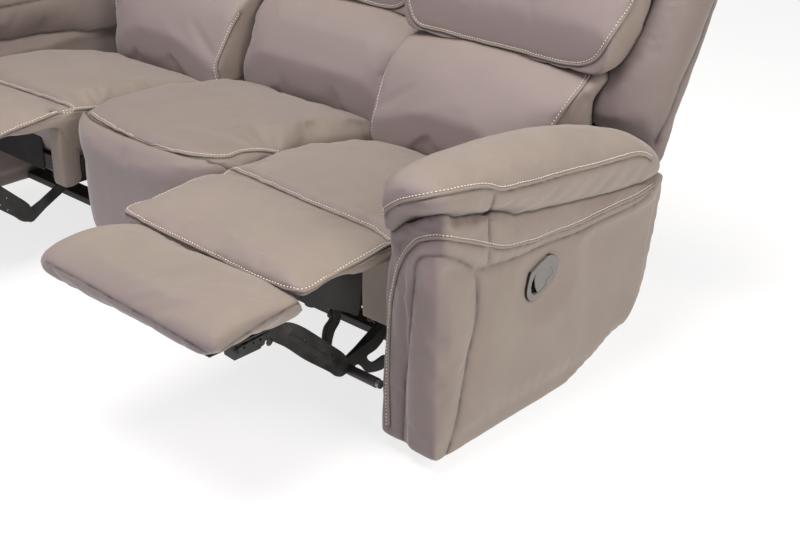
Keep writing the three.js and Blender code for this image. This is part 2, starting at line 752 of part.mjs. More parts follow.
// Out at the wing the cushion's side leans outwards with its height
const lumbarSpread = 50;
const headSpread = 80;
const headSpreadHeight = 146;

function spread(low, high, from, to, power) {
  return (place) => {
    const up = THREE.MathUtils.clamp((place.z - low) / (high - low), 0, 1);
    const wide = (place.x + seatHalf) / (2 * seatHalf);
    return place.setX(place.x + (from + (to - from) * up ** power) * wide * wide);
  };
}

const backRoll = 26;

function backCushion(points, back, shift) {
  return cut(cushion(points, { half: seatHalf, roll: backRoll, shift }), [behindCushions(back)]);
}

function lumbar(back, shift = null) {
  return backCushion(backOutline(lumbarShares, lumbarLow, lumbarHigh, lumbarThick, back), back, shift);
}

function head(back, shift = null) {
  return backCushion(backOutline(headShares, headLow, backTop, headThick, back), back, shift);
}

const lumbarShift = spread(lumbarLow, lumbarHigh, -2 * armGap, lumbarSpread, 4);
const headShift = spread(headLow, headLow + headSpreadHeight, lumbarSpread, headSpread, 1);
addPair('lumbar_cushion', lumbar(0, lumbarShift), 'cover', seatPitch);
addPair('head_cushion', head(0, headShift), 'cover', seatPitch);

// Back frames, with ears on the end seats that hang on the carriage's studs
const backFrameInset = 22;
const backFrameHalf = seatHalf - backFrameInset;
const backFrameLow = backFoot.y;

function backFrameShape(back, low) {
  return polygon([
    new THREE.Vector2(lean(low) + back, low), new THREE.Vector2(lean(low) + back + backFrameDepth, low),
    new THREE.Vector2(lean(backFrameTop) + back + backFrameDepth, backFrameTop),
    new THREE.Vector2(lean(backFrameTop) + back, backFrameTop),
  ]);
}

function recliningFrame() {
  const boardPiece = plate(backFrameShape(0, backFrameLow), -backFrameHalf, 2 * backFrameHalf);
  const plane = linkSpacing + sheet + plateGap;
  const top = new THREE.Vector2(lean(backFrameLow) + backFrameThick / 2, backFrameLow + earRadius);
  const ear = linkShape(reclinePivot, top, earRadius * 0.8, earRadius * 0.8);
  ear.holes.push(circle(reclinePivot, holeRadius));
  return join([boardPiece, plate(ear, plane), plate(ear, -plane - sheet)]);
}

addPair('back_frame', recliningFrame(), 'wood', seatPitch);
addPart('centre_back_frame', plate(
  backFrameShape(slideTravel, frameHigh + clearance), -backFrameHalf, 2 * backFrameHalf), 'wood');

// Padded rear covers, which reach down behind the seat
const rearCoverLow = 250;
const rearCoverShares = [
  // shares of the height, and of the cover's thickness behind the frame
  [0.0, -0.3], [0.0, 0.35], [0.03, 0.75], [0.25, 0.8], [0.5, 1], [0.72, 1.12], [0.86, 1.12], [0.95, 0.85],
  [0.985, 0.3], [0.985, -0.4], [0.94, -0.5], [0.6, -0.3], [0.3, -0.3],
];
const rearCoverThick = 50;
const rearCoverRoll = 12;

function rearCover(back) {
  const points = rearCoverShares.map(([up, out]) => {
    const z = rearCoverLow + up * (backTop - rearCoverLow);
    return new THREE.Vector2(lean(z) + backFrameDepth + out * rearCoverThick + back, z);
  });
  const line = seamLine(back, clearance);
  const behindFrame = backFrameDepth;
  const before = slab([
    new THREE.Vector2(line.low.x + behindFrame, 0), new THREE.Vector2(line.face.x + behindFrame, line.face.y),
    line.step, line.high, new THREE.Vector2(0, line.high.y), new THREE.Vector2(0, 0),
  ]);
  return cut(cushion(points, { half: seatHalf, roll: rearCoverRoll }), [before]);
}

addPair('rear_cover', rearCover(0), 'coverShade', seatPitch);
addPart('centre_rear_cover', rearCover(slideTravel), 'coverShade');

// The outer wing of each end back, which stands over the rear end of the arm
const wingStations = [
  // shares of the wing's height; inner side, front and rear in shares of width and depth
  [0.0, 0.06, 0.18, 0.42],
  [0.03, 0.02, 0.1, 0.52],
  [0.1, 0, -0.06, 0.62],
  [0.14, 0.03, -0.52, 0.68],
  [0.2, 0.1, -0.95, 0.74],
  [0.3, 0.16, -1.12, 0.86],
  [0.38, 0.285, -1.15, 0.91],
  [0.46, 0.342, -1.14, 0.96],
  [0.62, 0.461, -1.08, 1.05],
  [0.8, 0.481, -0.96, 1.08],
  [0.92, 0.5, -0.72, 0.98],
  [0.98, 0.56, -0.42, 0.7],
  [1.0, 0.6, -0.15, 0.5],
];
const wingPlanShares = [
  [0, 0.12], [0, 0.9], [0.12, 1], [0.85, 1], [1, 0.85], [1, 0.55], [0.82, 0.24], [0.4, 0], [0.1, 0],
];
const wingLow = 432;
const wingDepth = 96;

function wing() {
  const outer = armOuter - seatPitch;
  const inner = seatHalf + armGap;
  const rings = wingStations.map(([up, side, front, rear]) => {
    const z = wingLow + up * (backTop - wingLow);
    const face = lean(z) + backFrameDepth;
    const left = inner + side * (outer - inner);
    const nearY = face + front * wingDepth + clearance;
    const farY = face + rear * wingDepth;
    return wingPlanShares.map(([across, back]) => (
      new THREE.Vector3(left + across * (outer - left), nearY + back * (farY - nearY), z)));
  });
  return loftUp(rings);
}

// Rings stacked upwards, closed by fans
function loftUp(rings) {
  const turned = rings.map((ring) => ring.map((p) => new THREE.Vector3(p.x, p.z, -p.y)));
  return loft(turned).rotateX(Math.PI / 2);
}

addPair('back_wing', wing(), 'cover', seatPitch);

// The centre seat: a box on the base rails, springs, cushion and a bulging front
const centrePanelBulge = 34;
const centreFrameFront = 60;
const centreFrameRear = 770;
const panelBoard = 18;

function centreFrame() {
  const half = frameHalf;
  const low = frontRail.z + frontRail.height + clearance;
  const rear = rearRail.y - clearance;
  return join([
    board(-half, half, centreFrameFront, centreFrameFront + panelBoard, low, frameHigh),
    board(-half, panelBoard - half, centreFrameFront, rear, low, frameHigh),
    board(half - panelBoard, half, centreFrameFront, rear, low, frameHigh),
    board(-half, half, centreFrameFront, centreFrameRear, frameHigh - panelBoard, frameHigh),
  ]);
}

const centreCushionShares = [
  [-0.02, 0.965], [0.03, 1.0], [0.25, 1.03], [0.5, 0.97], [0.8, 0.76], [0.96, 0.5],
  [1.04, 0.26], [1.05, 0.08], [1.0, 0], [0.5, 0], [0.005, 0], [0.003, 0.9],
];
const centrePanelShares = [
  [0.55, 1.0], [0.2, 0.965], [0.02, 0.86], [0, 0.6], [0.08, 0.3], [0.3, 0.06], [0.45, 0],
  [1.0, 0.0], [1.0, 0.3], [1.0, 0.8], [1.0, 1.0],
];
const centrePanelFront = 14;
const centrePanelRoll = 16;
const centreLip = 8;              // of the cushion's front seam over the panel

// The panel stands proud in its middle and draws back towards its sides
function bulged(front, depth) {
  return (place) => {
    const out = Math.abs(place.x) / seatHalf;
    const ahead = 1 - (place.y - front) / depth;
    return place.setY(place.y + centrePanelBulge * out ** 3 * Math.max(ahead, 0));
  };
}

function centrePanel() {
  const low = frontRail.z + frontRail.height + clearance;
  const depth = centreFrameFront - centrePanelFront - clearance;
  const box = { y: centrePanelFront, z: low, depth, height: seatTop - centreLip - low };
  const shift = bulged(centrePanelFront, depth);
  return cushion(outline(centrePanelShares, box), { half: seatHalf, roll: centrePanelRoll, shift });
}

function centreCushion() {
  const box = { y: frontSeam, z: cushionLow, depth: seatDepth + slideTravel, height: seatTop - cushionLow };
  return cushion(outline(centreCushionShares, box), { half: seatHalf, roll: seatRoll, crown: seatCrown });
}

const centreSpringFront = centreFrameFront + 2 * panelBoard;
const centreSpringRear = frameRear + slideTravel;

addPart('centre_frame', centreFrame(), 'wood');
addPart('centre_springs', springWire(centreSpringFront, centreSpringRear, springHeight), 'bright');
addPart('centre_cushion', centreCushion(), 'cover');
addPart('centre_front_panel', centrePanel(), 'cover');
addPart('centre_lumbar', lumbar(slideTravel), 'cover');
addPart('centre_head', head(slideTravel), 'cover');

const reach = new THREE.Box3().setFromObject(parts, true);
parts.position.y = -(reach.min.y + reach.max.y) / 2;
sofa.updateMatrixWorld(true);

export default sofa;
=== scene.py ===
# %% [markdown]
# # A reclining sofa, dressed
#
# The frame holds the sofa's solids at their real size and place. This lesson gives each of them
# its cover, seams, stitches and finish, and leaves every size as it is. The soft pieces start from
# the frame's own solids, so a cushion never drifts away from what carries it.

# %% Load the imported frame
import json
import math

import bmesh
import bpy
import numpy as np
from mathutils import Matrix, Vector
from mathutils.bvhtree import BVHTree

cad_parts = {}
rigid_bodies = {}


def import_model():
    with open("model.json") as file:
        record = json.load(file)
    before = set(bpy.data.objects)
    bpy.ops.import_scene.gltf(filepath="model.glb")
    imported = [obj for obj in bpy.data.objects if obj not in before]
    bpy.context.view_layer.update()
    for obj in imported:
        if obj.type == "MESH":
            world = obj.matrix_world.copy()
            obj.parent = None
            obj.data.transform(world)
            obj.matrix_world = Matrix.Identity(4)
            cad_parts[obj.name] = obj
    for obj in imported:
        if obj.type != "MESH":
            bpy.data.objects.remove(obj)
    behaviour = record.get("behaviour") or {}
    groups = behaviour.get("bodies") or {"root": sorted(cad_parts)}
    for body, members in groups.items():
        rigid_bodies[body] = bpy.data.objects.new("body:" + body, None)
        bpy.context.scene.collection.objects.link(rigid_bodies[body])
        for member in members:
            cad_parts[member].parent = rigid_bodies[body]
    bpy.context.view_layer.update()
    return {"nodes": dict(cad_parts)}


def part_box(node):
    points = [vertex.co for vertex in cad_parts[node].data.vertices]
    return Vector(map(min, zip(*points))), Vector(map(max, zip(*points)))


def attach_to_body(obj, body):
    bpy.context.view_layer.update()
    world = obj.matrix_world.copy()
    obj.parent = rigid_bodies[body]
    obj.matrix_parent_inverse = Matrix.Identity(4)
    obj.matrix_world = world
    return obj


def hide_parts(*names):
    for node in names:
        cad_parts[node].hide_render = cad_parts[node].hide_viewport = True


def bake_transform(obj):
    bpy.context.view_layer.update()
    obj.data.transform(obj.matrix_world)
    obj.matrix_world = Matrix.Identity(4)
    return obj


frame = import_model()
MM = 0.001
front_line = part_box("arm_body_right")[0][1]


def place(x, y, z):
    """A point in millimetres from the sofa's middle, the arms' front and the floor."""
    return Vector((x * MM, front_line + y * MM, z * MM))


# %% [markdown]
# ## The camera
#
# The camera stands where the photograph was taken from: to the right of the sofa and above it, with
# a medium lens. Its three axes are worked out from two angles, so that the same axes can turn a
# place in the picture into a ray. Seams are then drawn where the photograph shows them, and each
# still lies on the cushion that carries it.

# %% Camera
IMAGE_WIDTH, IMAGE_HEIGHT = 800, 533
LENS, SENSOR = 61.19, 36.0
CAMERA_AZIMUTH = math.radians(43.22)
CAMERA_ELEVATION = math.radians(25.56)
camera_place = place(2559.2, -1734.0, 1568.0)
camera_back = Vector((
    math.sin(CAMERA_AZIMUTH) * math.cos(CAMERA_ELEVATION),
    -math.cos(CAMERA_AZIMUTH) * math.cos(CAMERA_ELEVATION),
    math.sin(CAMERA_ELEVATION),
))
camera_right = Vector((math.cos(CAMERA_AZIMUTH), math.sin(CAMERA_AZIMUTH), 0))
camera_up = camera_back.cross(camera_right)

camera_data = bpy.data.cameras.new("camera")
camera_data.lens = LENS
camera_data.sensor_width = SENSOR
camera_data.sensor_fit = "HORIZONTAL"
camera = bpy.data.objects.new("camera", camera_data)
bpy.context.scene.collection.objects.link(camera)
axes = Matrix((camera_right, camera_up, camera_back)).transposed().to_4x4()
camera.matrix_world = Matrix.Translation(camera_place) @ axes
bpy.context.scene.camera = camera
pixels_per_slope = LENS / SENSOR * IMAGE_WIDTH


def sight(across, down):
    """The direction from the camera through a place in the picture."""
    right = (across - IMAGE_WIDTH / 2) / pixels_per_slope
    up = (IMAGE_HEIGHT / 2 - down) / pixels_per_slope
    return (camera_right * right + camera_up * up - camera_back).normalized()


print("camera at", [round(v, 3) for v in camera_place])

# %% [markdown]
# ## Small helpers for node trees
#
# Every finish is a handful of nodes: a noise, a stretch of its values, a mix of two colours. A
# helper for each of these keeps a finish as short as a sentence, and a socket is linked or set
# depending on what is handed to it.

# %% Node helpers
def add_node(tree, kind, **settings):
    node = tree.nodes.new(kind)
    for name, value in settings.items():
        setattr(node, name, value)
    return node


def mix_colours(tree, share, first, second):
    """A colour between two others."""
    node = add_node(tree, "ShaderNodeMix", data_type="RGBA")
    for socket, value in ((node.inputs[0], share), (node.inputs[6], first), (node.inputs[7], second)):
        if isinstance(value, bpy.types.NodeSocket):
            tree.links.new(value, socket)
        else:
            socket.default_value = value
    return node.outputs[2]


def calculate(tree, operation, first, second):
    node = add_node(tree, "ShaderNodeMath", operation=operation)
    for socket, value in ((node.inputs[0], first), (node.inputs[1], second)):
        if isinstance(value, bpy.types.NodeSocket):
            tree.links.new(value, socket)
        else:
            socket.default_value = value
    return node.outputs[0]


def noise(tree, coordinates, scale, detail, roughness=0.5):
    node = add_node(tree, "ShaderNodeTexNoise")
    tree.links.new(coordinates, node.inputs["Vector"])
    node.inputs["Scale"].default_value = scale
    node.inputs["Detail"].default_value = detail
    node.inputs["Roughness"].default_value = roughness
    return node.outputs["Fac"]


def stretch(tree, value, low, high):
    """Spreads a value from low..high to 0..1."""
    node = add_node(tree, "ShaderNodeMapRange")
    tree.links.new(value, node.inputs["Value"])
    node.inputs["From Min"].default_value = low
    node.inputs["From Max"].default_value = high
    return node.outputs["Result"]


def object_place(tree):
    return add_node(tree, "ShaderNodeTexCoord").outputs["Object"]


def new_group(name, inputs, outputs):
    group = bpy.data.node_groups.new(name, "ShaderNodeTree")
    for socket, kind, value in inputs:
        made = group.interface.new_socket(socket, in_out="INPUT", socket_type=kind)
        if value is not None:
            made.default_value = value
    for socket, kind in outputs:
        group.interface.new_socket(socket, in_out="OUTPUT", socket_type=kind)
    return group, add_node(group, "NodeGroupInput"), add_node(group, "NodeGroupOutput")


print("node helpers ready")

# %% [markdown]
# ## Nap and grain of the cover
#
# Suede-look cloth is never one colour: the nap lies one way here and the other way there, which
# shows as soft lighter and darker patches, and under them is a fine pebbled grain. An image could
# show both, but it would need unwrapping and would stretch on the folds. Noise on the object's own
# coordinates needs neither. It is built once as a node group, and each cover sets its own sizes.

# %% Nap and grain of the cover
nap, nap_in, nap_out = new_group(
    "brushed nap",
    [("Patch size", "NodeSocketFloat", 0.12), ("Grain size", "NodeSocketFloat", 0.0016)],
    [("Shade", "NodeSocketFloat"), ("Warmth", "NodeSocketFloat"), ("Grain", "NodeSocketFloat")],
)
nap_place = object_place(nap)


def sized_noise(tree, group_in, size_name, share, detail, roughness=0.55):
    """Noise whose patches are a share of a named size."""
    node = add_node(tree, "ShaderNodeTexNoise")
    tree.links.new(nap_place, node.inputs["Vector"])
    scale = calculate(tree, "DIVIDE", share, group_in.outputs[size_name])
    tree.links.new(scale, node.inputs["Scale"])
    node.inputs["Detail"].default_value = detail
    node.inputs["Roughness"].default_value = roughness
    return node.outputs["Fac"]


patches = sized_noise(nap, nap_in, "Patch size", 1.0, 4)
warmth = sized_noise(nap, nap_in, "Patch size", 0.45, 2)
grain = sized_noise(nap, nap_in, "Grain size", 1.0, 3, 0.65)
nap.links.new(stretch(nap, patches, 0.3, 0.7), nap_out.inputs["Shade"])
nap.links.new(stretch(nap, warmth, 0.35, 0.65), nap_out.inputs["Warmth"])
nap.links.new(grain, nap_out.inputs["Grain"])
print("shared shader groups:", nap.name)

# %% [markdown]
# ## The cover
#
# The cover is a brown-grey suede-look cloth. Three marks of painted light are laid on it: where it
# faces forward a rosier, slightly darker painted reflection and shade, on some sides and tops a painted
# shade, and in every seam and where cushions meet a dark line of painted shade. Those three places
# can't come from noise, so they are stored on the mesh as attributes when the piece is sewn, and the
# finish only reads them. Sheen gives the soft light edge that cloth has and plastic hasn't.

# %% Plain material and cover
# Painted light colours: the painted shade of seams and meetings, the painted reflection and shade of
# forward faces, and the painted shade of each piece's rule.
CREASE_SHADE_COLOUR = (0.018, 0.012, 0.010, 1)
COVER_FRONT_PAINTED_LIGHT = (0.242, 0.195, 0.191, 1)
COVER_PAINTED_SHADE = (0.150, 0.118, 0.110, 1)
COVER_LIGHT = (0.258, 0.213, 0.177, 1)
COVER_DARK = (0.226, 0.185, 0.154, 1)
COVER_ROSE = (0.237, 0.189, 0.170, 1)
BACK_LIGHT = (0.215, 0.178, 0.149, 1)
BACK_DARK = (0.188, 0.155, 0.129, 1)
BACK_ROSE = (0.198, 0.160, 0.143, 1)


def new_material(name, roughness, metallic=0.0):
    material = bpy.data.materials.new(name)
    material.use_nodes = True
    shader = material.node_tree.nodes["Principled BSDF"]
    shader.inputs["Roughness"].default_value = roughness
    shader.inputs["Metallic"].default_value = metallic
    return material, material.node_tree, shader


def bump(tree, shader, height, strength, distance):
    node = add_node(tree, "ShaderNodeBump")
    node.inputs["Strength"].default_value = strength
    node.inputs["Distance"].default_value = distance
    tree.links.new(height, node.inputs["Height"])
    tree.links.new(node.outputs["Normal"], shader.inputs["Normal"])


def vary_roughness(tree, shader, mask, spread, least):
    """Roughness from least up to least and spread, where a mask goes from 0 to 1."""
    rough = calculate(tree, "MULTIPLY", mask, spread)
    tree.links.new(calculate(tree, "ADD", rough, least), shader.inputs["Roughness"])


def colour_by(tree, shader, mask, first, second):
    tree.links.new(mix_colours(tree, mask, first, second), shader.inputs["Base Color"])


def stored_on_mesh(tree, name):
    return add_node(tree, "ShaderNodeAttribute", attribute_name=name).outputs["Fac"]


def cover_material(name, light, dark, rose, patch_size=0.12, sheen=0.25):
    """Suede-look upholstery: random nap patches and rose, then painted reflection and painted shade."""
    material, tree, shader = new_material(name, 0.7)
    group = add_node(tree, "ShaderNodeGroup", node_tree=nap)
    group.inputs["Patch size"].default_value = patch_size
    base = mix_colours(tree, group.outputs["Shade"], dark, light)
    tint = calculate(tree, "MULTIPLY", group.outputs["Warmth"], 0.45)
    brushed = mix_colours(tree, tint, base, rose)
    # painted light read off the mesh: forward-face painted reflection and shade, each rule's painted
    # shade, seam and meeting painted shade
    turned = mix_colours(tree, stored_on_mesh(tree, "turned"), brushed, COVER_FRONT_PAINTED_LIGHT)
    shaded = mix_colours(tree, stored_on_mesh(tree, "shaded"), turned, COVER_PAINTED_SHADE)
    colour_by(tree, shader, stored_on_mesh(tree, "crease"), shaded, CREASE_SHADE_COLOUR)
    vary_roughness(tree, shader, group.outputs["Grain"], 0.22, 0.55)
    shader.inputs["Sheen Weight"].default_value = sheen
    shader.inputs["Sheen Roughness"].default_value = 0.45
    shader.inputs["Specular IOR Level"].default_value = 0.35
    bump(tree, shader, group.outputs["Grain"], 0.35, 0.0006)
    return material


cover = cover_material("sofa_cover", COVER_LIGHT, COVER_DARK, COVER_ROSE)
back_cloth = cover_material("back_cloth", BACK_LIGHT, BACK_DARK, BACK_ROSE, patch_size=0.2, sheen=0.15)
print("cover finishes:", cover.name, back_cloth.name)

# %% [markdown]
# ## Thread and lining
#
# The stitches are cream thread, thick enough that its fibres catch the light. The lining that
# closes the seat's front and sides is a thin black woven cloth. Two crossed wave textures make a
# square weave without drawing a single yarn.

# %% Thread and lining
THREAD_LIGHT, THREAD_DARK = (0.93, 0.88, 0.79, 1), (0.74, 0.69, 0.60, 1)


def thread_material():
    """Twisted sewing thread: fine fibres in cream."""
    material, tree, shader = new_material("thread", 0.6)
    fibres = noise(tree, object_place(tree), 1500, 2)
    colour_by(tree, shader, stretch(tree, fibres, 0.3, 0.7), THREAD_DARK, THREAD_LIGHT)
    bump(tree, shader, fibres, 0.3, 0.0003)
    return material


def lining_material():
    """Thin black lining with a fine square weave and a little dust."""
    material, tree, shader = new_material("dust_lining", 0.9)
    spot = object_place(tree)
    waves = []
    for direction in ("X", "Z"):
        wave = add_node(tree, "ShaderNodeTexWave", bands_direction=direction)
        tree.links.new(spot, wave.inputs["Vector"])
        wave.inputs["Scale"].default_value = 260
        wave.inputs["Distortion"].default_value = 0.6
        waves.append(wave.outputs["Fac"])
    weave = calculate(tree, "MULTIPLY", waves[0], waves[1])
    dust = stretch(tree, noise(tree, spot, 9, 4), 0.35, 0.8)
    colour_by(tree, shader, dust, (0.010, 0.009, 0.010, 1), (0.026, 0.023, 0.023, 1))
    bump(tree, shader, weave, 0.4, 0.0004)
    return material


thread = thread_material()
lining = lining_material()
print("soft finishes:", thread.name, lining.name)

# %% [markdown]
# ## Paint and zinc
#
# The mechanism is stamped steel under satin black paint, which dries with a faint orange peel and
# gathers dust, and the cross tube and the springs are zinc-plated. Both are Principled shaders: the
# paint is a dark and slightly metallic coat, the zinc is metal with dull clouds.


# %% Paint and zinc
def painted_steel_material():
    """Satin black paint: faint orange peel, dust on it and dull patches."""
    material, tree, shader = new_material("black_paint", 0.42, 0.35)
    spot = object_place(tree)
    dust = stretch(tree, noise(tree, spot, 22, 4), 0.35, 0.7)
    colour_by(tree, shader, dust, (0.022, 0.021, 0.020, 1), (0.046, 0.043, 0.040, 1))
    vary_roughness(tree, shader, dust, 0.22, 0.34)
    bump(tree, shader, noise(tree, spot, 900, 2), 0.12, 0.0004)
    return material


def zinc_material():
    """Zinc-plated steel: grey with duller clouds and fine marks."""
    material, tree, shader = new_material("zinc", 0.35, 1.0)
    spot = object_place(tree)
    clouds = stretch(tree, noise(tree, spot, 35, 5), 0.3, 0.7)
    colour_by(tree, shader, clouds, (0.15, 0.15, 0.16, 1), (0.30, 0.30, 0.32, 1))
    vary_roughness(tree, shader, clouds, 0.2, 0.27)
    bump(tree, shader, noise(tree, spot, 700, 3), 0.15, 0.0003)
    return material


black_paint = painted_steel_material()
zinc = zinc_material()
print("steel finishes:", black_paint.name, zinc.name)

# %% [markdown]
# ## Timber and moulded plastic
#
# The frames are sawn timber, nearly black in the shadow under the sofa, with rings stretched along
# the board by a Mapping node. The release handle is grey moulded plastic: an etched surface that
# hands have polished in places.


# %% Timber and moulded plastic
def timber_material(name, light, dark):
    """Sawn timber with growth rings stretched along the board."""
    material, tree, shader = new_material(name, 0.7)
    along = add_node(tree, "ShaderNodeMapping")
    tree.links.new(object_place(tree), along.inputs["Vector"])
    along.inputs["Scale"].default_value = (1.2, 9.0, 14.0)
    rings = add_node(tree, "ShaderNodeTexWave", wave_type="RINGS")
    tree.links.new(along.outputs["Vector"], rings.inputs["Vector"])
    rings.inputs["Scale"].default_value = 2.2
    rings.inputs["Distortion"].default_value = 7
    rings.inputs["Detail"].default_value = 3
    colour_by(tree, shader, rings.outputs["Fac"], dark, light)
    bump(tree, shader, rings.outputs["Fac"], 0.15, 0.0006)
    return material


def plastic_material(name, light, dark, roughness):
    """Moulded plastic with a faint etched texture and handling marks."""
    material, tree, shader = new_material(name, roughness)
    spot = object_place(tree)
    marks = stretch(tree, noise(tree, spot, 30, 5), 0.4, 0.7)
    colour_by(tree, shader, marks, dark, light)
    vary_roughness(tree, shader, marks, 0.15, roughness)
    bump(tree, shader, noise(tree, spot, 2200, 1), 0.15, 0.0002)
    return material


dark_timber = timber_material("dark_timber", (0.040, 0.032, 0.028, 1), (0.020, 0.017, 0.016, 1))
cup_grey = plastic_material("cup_grey", (0.190, 0.176, 0.162, 1), (0.160, 0.148, 0.136, 1), 0.5)
black_plastic = plastic_material("black_plastic", (0.02, 0.02, 0.022, 1), (0.012, 0.012, 0.013, 1), 0.35)
print("finishes:", [m.name for m in bpy.data.materials])

# %% [markdown]
# ## Finishes on the solids that stay
#
# The timber frames, the rails, the springs and the feet already have their true shape as solids.
# They aren't copied or moved: the start of a solid's name says which finish goes into its slot.

# %% Dress the solids
SOLID_FINISHES = {
    "base_rail": dark_timber, "seat_frame": dark_timber, "centre_frame": dark_timber,
    "back_frame": dark_timber, "centre_back_frame": dark_timber,
    "base_plate": black_paint, "carriage": black_paint, "footrest_frame": black_paint,
    "drive_links": black_paint,
    "seat_springs": zinc, "centre_springs": zinc, "foot": black_plastic,
}
dressed = []
for solid_name, solid in frame["nodes"].items():
    starts = [start for start in SOLID_FINISHES if solid_name.startswith(start)]
    if starts:
        finish = SOLID_FINISHES[max(starts, key=len)]
        solid.data.materials.clear()
        solid.data.materials.append(finish)
        dressed.append(solid_name)
print("solids dressed", len(dressed))

# %% [markdown]
# ## Skins over the solids
#
# A cushion starts as an even skin of squares over its solid: a voxel remesh gives that. Seams are
# lines on the skin. It is swollen with air pressure as cloth while the seams are held, then made
# finer, and then given the grooves and small puckers that thread pulls into a cover.


# %% Skins
def new_object(name, mesh, material):
    piece = bpy.data.objects.new(name, mesh)
    bpy.context.scene.collection.objects.link(piece)
    mesh.materials.clear()
    mesh.materials.append(material)
    return piece


def settle(piece):
    """Turns what a piece's modifiers make into its mesh."""
    graph = bpy.context.evaluated_depsgraph_get()
    material = piece.data.materials[0]
    mesh = bpy.data.meshes.new_from_object(piece.evaluated_get(graph))
    piece.modifiers.clear()
    piece.data = mesh
    mesh.materials.clear()
    mesh.materials.append(material)


def points_of(piece):
    flat = np.empty(len(piece.data.vertices) * 3, np.float32)
    piece.data.vertices.foreach_get("co", flat)
    return flat.reshape(-1, 3).astype(float)


def normals_of(piece):
    flat = np.empty(len(piece.data.vertices) * 3, np.float32)
    piece.data.vertices.foreach_get("normal", flat)
    return flat.reshape(-1, 3).astype(float)


def move_points(piece, points):
    piece.data.vertices.foreach_set("co", points.astype(np.float32).ravel())
    piece.data.update()


def skin(name, nodes, voxel, rounds=4, extra=None, material=cover):
    """A closed skin of even squares round solids and one more mesh, if there is one."""
    work = bmesh.new()
    for node in nodes:
        work.from_mesh(frame["nodes"][node].data)
    if extra:
        work.from_mesh(extra)
    bmesh.ops.remove_doubles(work, verts=work.verts, dist=0.01 * MM)
    mesh = bpy.data.meshes.new(name)
    work.to_mesh(mesh)
    work.free()
    piece = new_object(name, mesh, material)
    squares = piece.modifiers.new("squares", "REMESH")
    squares.mode = "VOXEL"
    squares.voxel_size = voxel * MM
    even = piece.modifiers.new("even", "SMOOTH")
    even.factor = 0.5
    even.iterations = rounds
    settle(piece)
    return piece


def thin_skin(name, node, material):
    """A thin board's own faces with softened edges."""
    piece = new_object(name, frame["nodes"][node].data.copy(), material)
    soft = piece.modifiers.new("soft", "BEVEL")
    soft.width = 1.2 * MM
    soft.segments = 3
    settle(piece)
    return piece


def tree_of(piece):
    mesh = piece.data
    faces = [tuple(face.vertices) for face in mesh.polygons]
    return BVHTree.FromPolygons([tuple(v.co) for v in mesh.vertices], faces)


print("skin tools ready, each solid's own mesh can become a skin")

# %% [markdown]
# ## Lines on a skin
#
# A seam is a row of points, three millimetres apart, that lies on a skin. There are two ways to find
# one. A place in the photograph is sent out from the camera as a ray until it meets the skin, or a
# place in millimetres is dropped onto it. A few rounds of averaging take out the jitter.

# %% Lines on a skin
SEAM_STEP = 3.0
TRIED_REACHES = np.arange(1.2, 4.6, 0.04)


def evenly(line):
    """The same line with its points SEAM_STEP millimetres apart."""
    line = np.asarray(line, float)
    lengths = np.linalg.norm(np.diff(line, axis=0), axis=1)
    total = np.concatenate([[0], np.cumsum(lengths)])
    count = max(int(total[-1] / (SEAM_STEP * MM)), 2)
    wanted = np.linspace(0, total[-1], count + 1)
    return np.stack([np.interp(wanted, total, line[:, k]) for k in range(3)], axis=1)


def relaxed(line, rounds=6):
    line = line.copy()
    for _ in range(rounds):
        line[1:-1] += 0.5 * ((line[:-2] + line[2:]) / 2 - line[1:-1])
    return line


def filled(points, steps):
    """A smooth row of points through the given ones."""
    points = np.asarray(points, float)
    padded = np.vstack([2 * points[0] - points[1], points, 2 * points[-1] - points[-2]])
    rows = []
    for a, b, c, d in zip(padded[:-3], padded[1:-2], padded[2:-1], padded[3:]):
        for t in np.linspace(0, 1, steps, endpoint=False):
            rows.append(0.5 * (2 * b + (c - a) * t + (2 * a - 5 * b + 4 * c - d) * t * t
                               + (3 * b - a - 3 * c + d) * t ** 3))
    return np.vstack(rows + [points[-1]])


def seen(piece, picture_places, twin_side=1):
    """A line through places in the picture, laid on a piece or on its nearest edge.

    With twin_side -1 the places are read off the mirrored twin on the other side of the sofa.
    """
    tree = tree_of(piece)
    line, missed = [], 0
    eye = Vector((twin_side * camera_place.x, camera_place.y, camera_place.z))
    for across, down in filled(picture_places, 6):
        way = sight(across, down)
        way.x *= twin_side
        hit = tree.ray_cast(eye, way)[0]
        if hit is None:
            near = [tree.find_nearest(eye + way * reach) for reach in TRIED_REACHES]
            hit = min(near, key=lambda found: found[3])[0]
            missed += 1
        line.append(hit)
    if missed:
        print(piece.name, "missed by", missed, "of", len(line), "sights")
    return relaxed(evenly(line))


def dropped(piece, places, direction):
    """A line through places given in millimetres, moved along a direction onto a piece."""
    tree = tree_of(piece)
    direction = Vector(direction).normalized()
    line = []
    for point in filled(places, 6):
        hit = tree.ray_cast(place(*point) - direction * 2, direction)[0]
        if hit is not None:
            line.append(hit)
    return relaxed(evenly(line))


def joined(*lines):
    return relaxed(evenly(np.vstack(lines)))


print("lines have a point every", SEAM_STEP, "mm")

# %% [markdown]
# ## Distances and noise
#
# Everything that a seam does to its cover fades with the distance from it, so that distance is
# measured once and used by all. The noise is made from whole numbers alone: it needs no random
# draws, and gives the same bumps on every run.

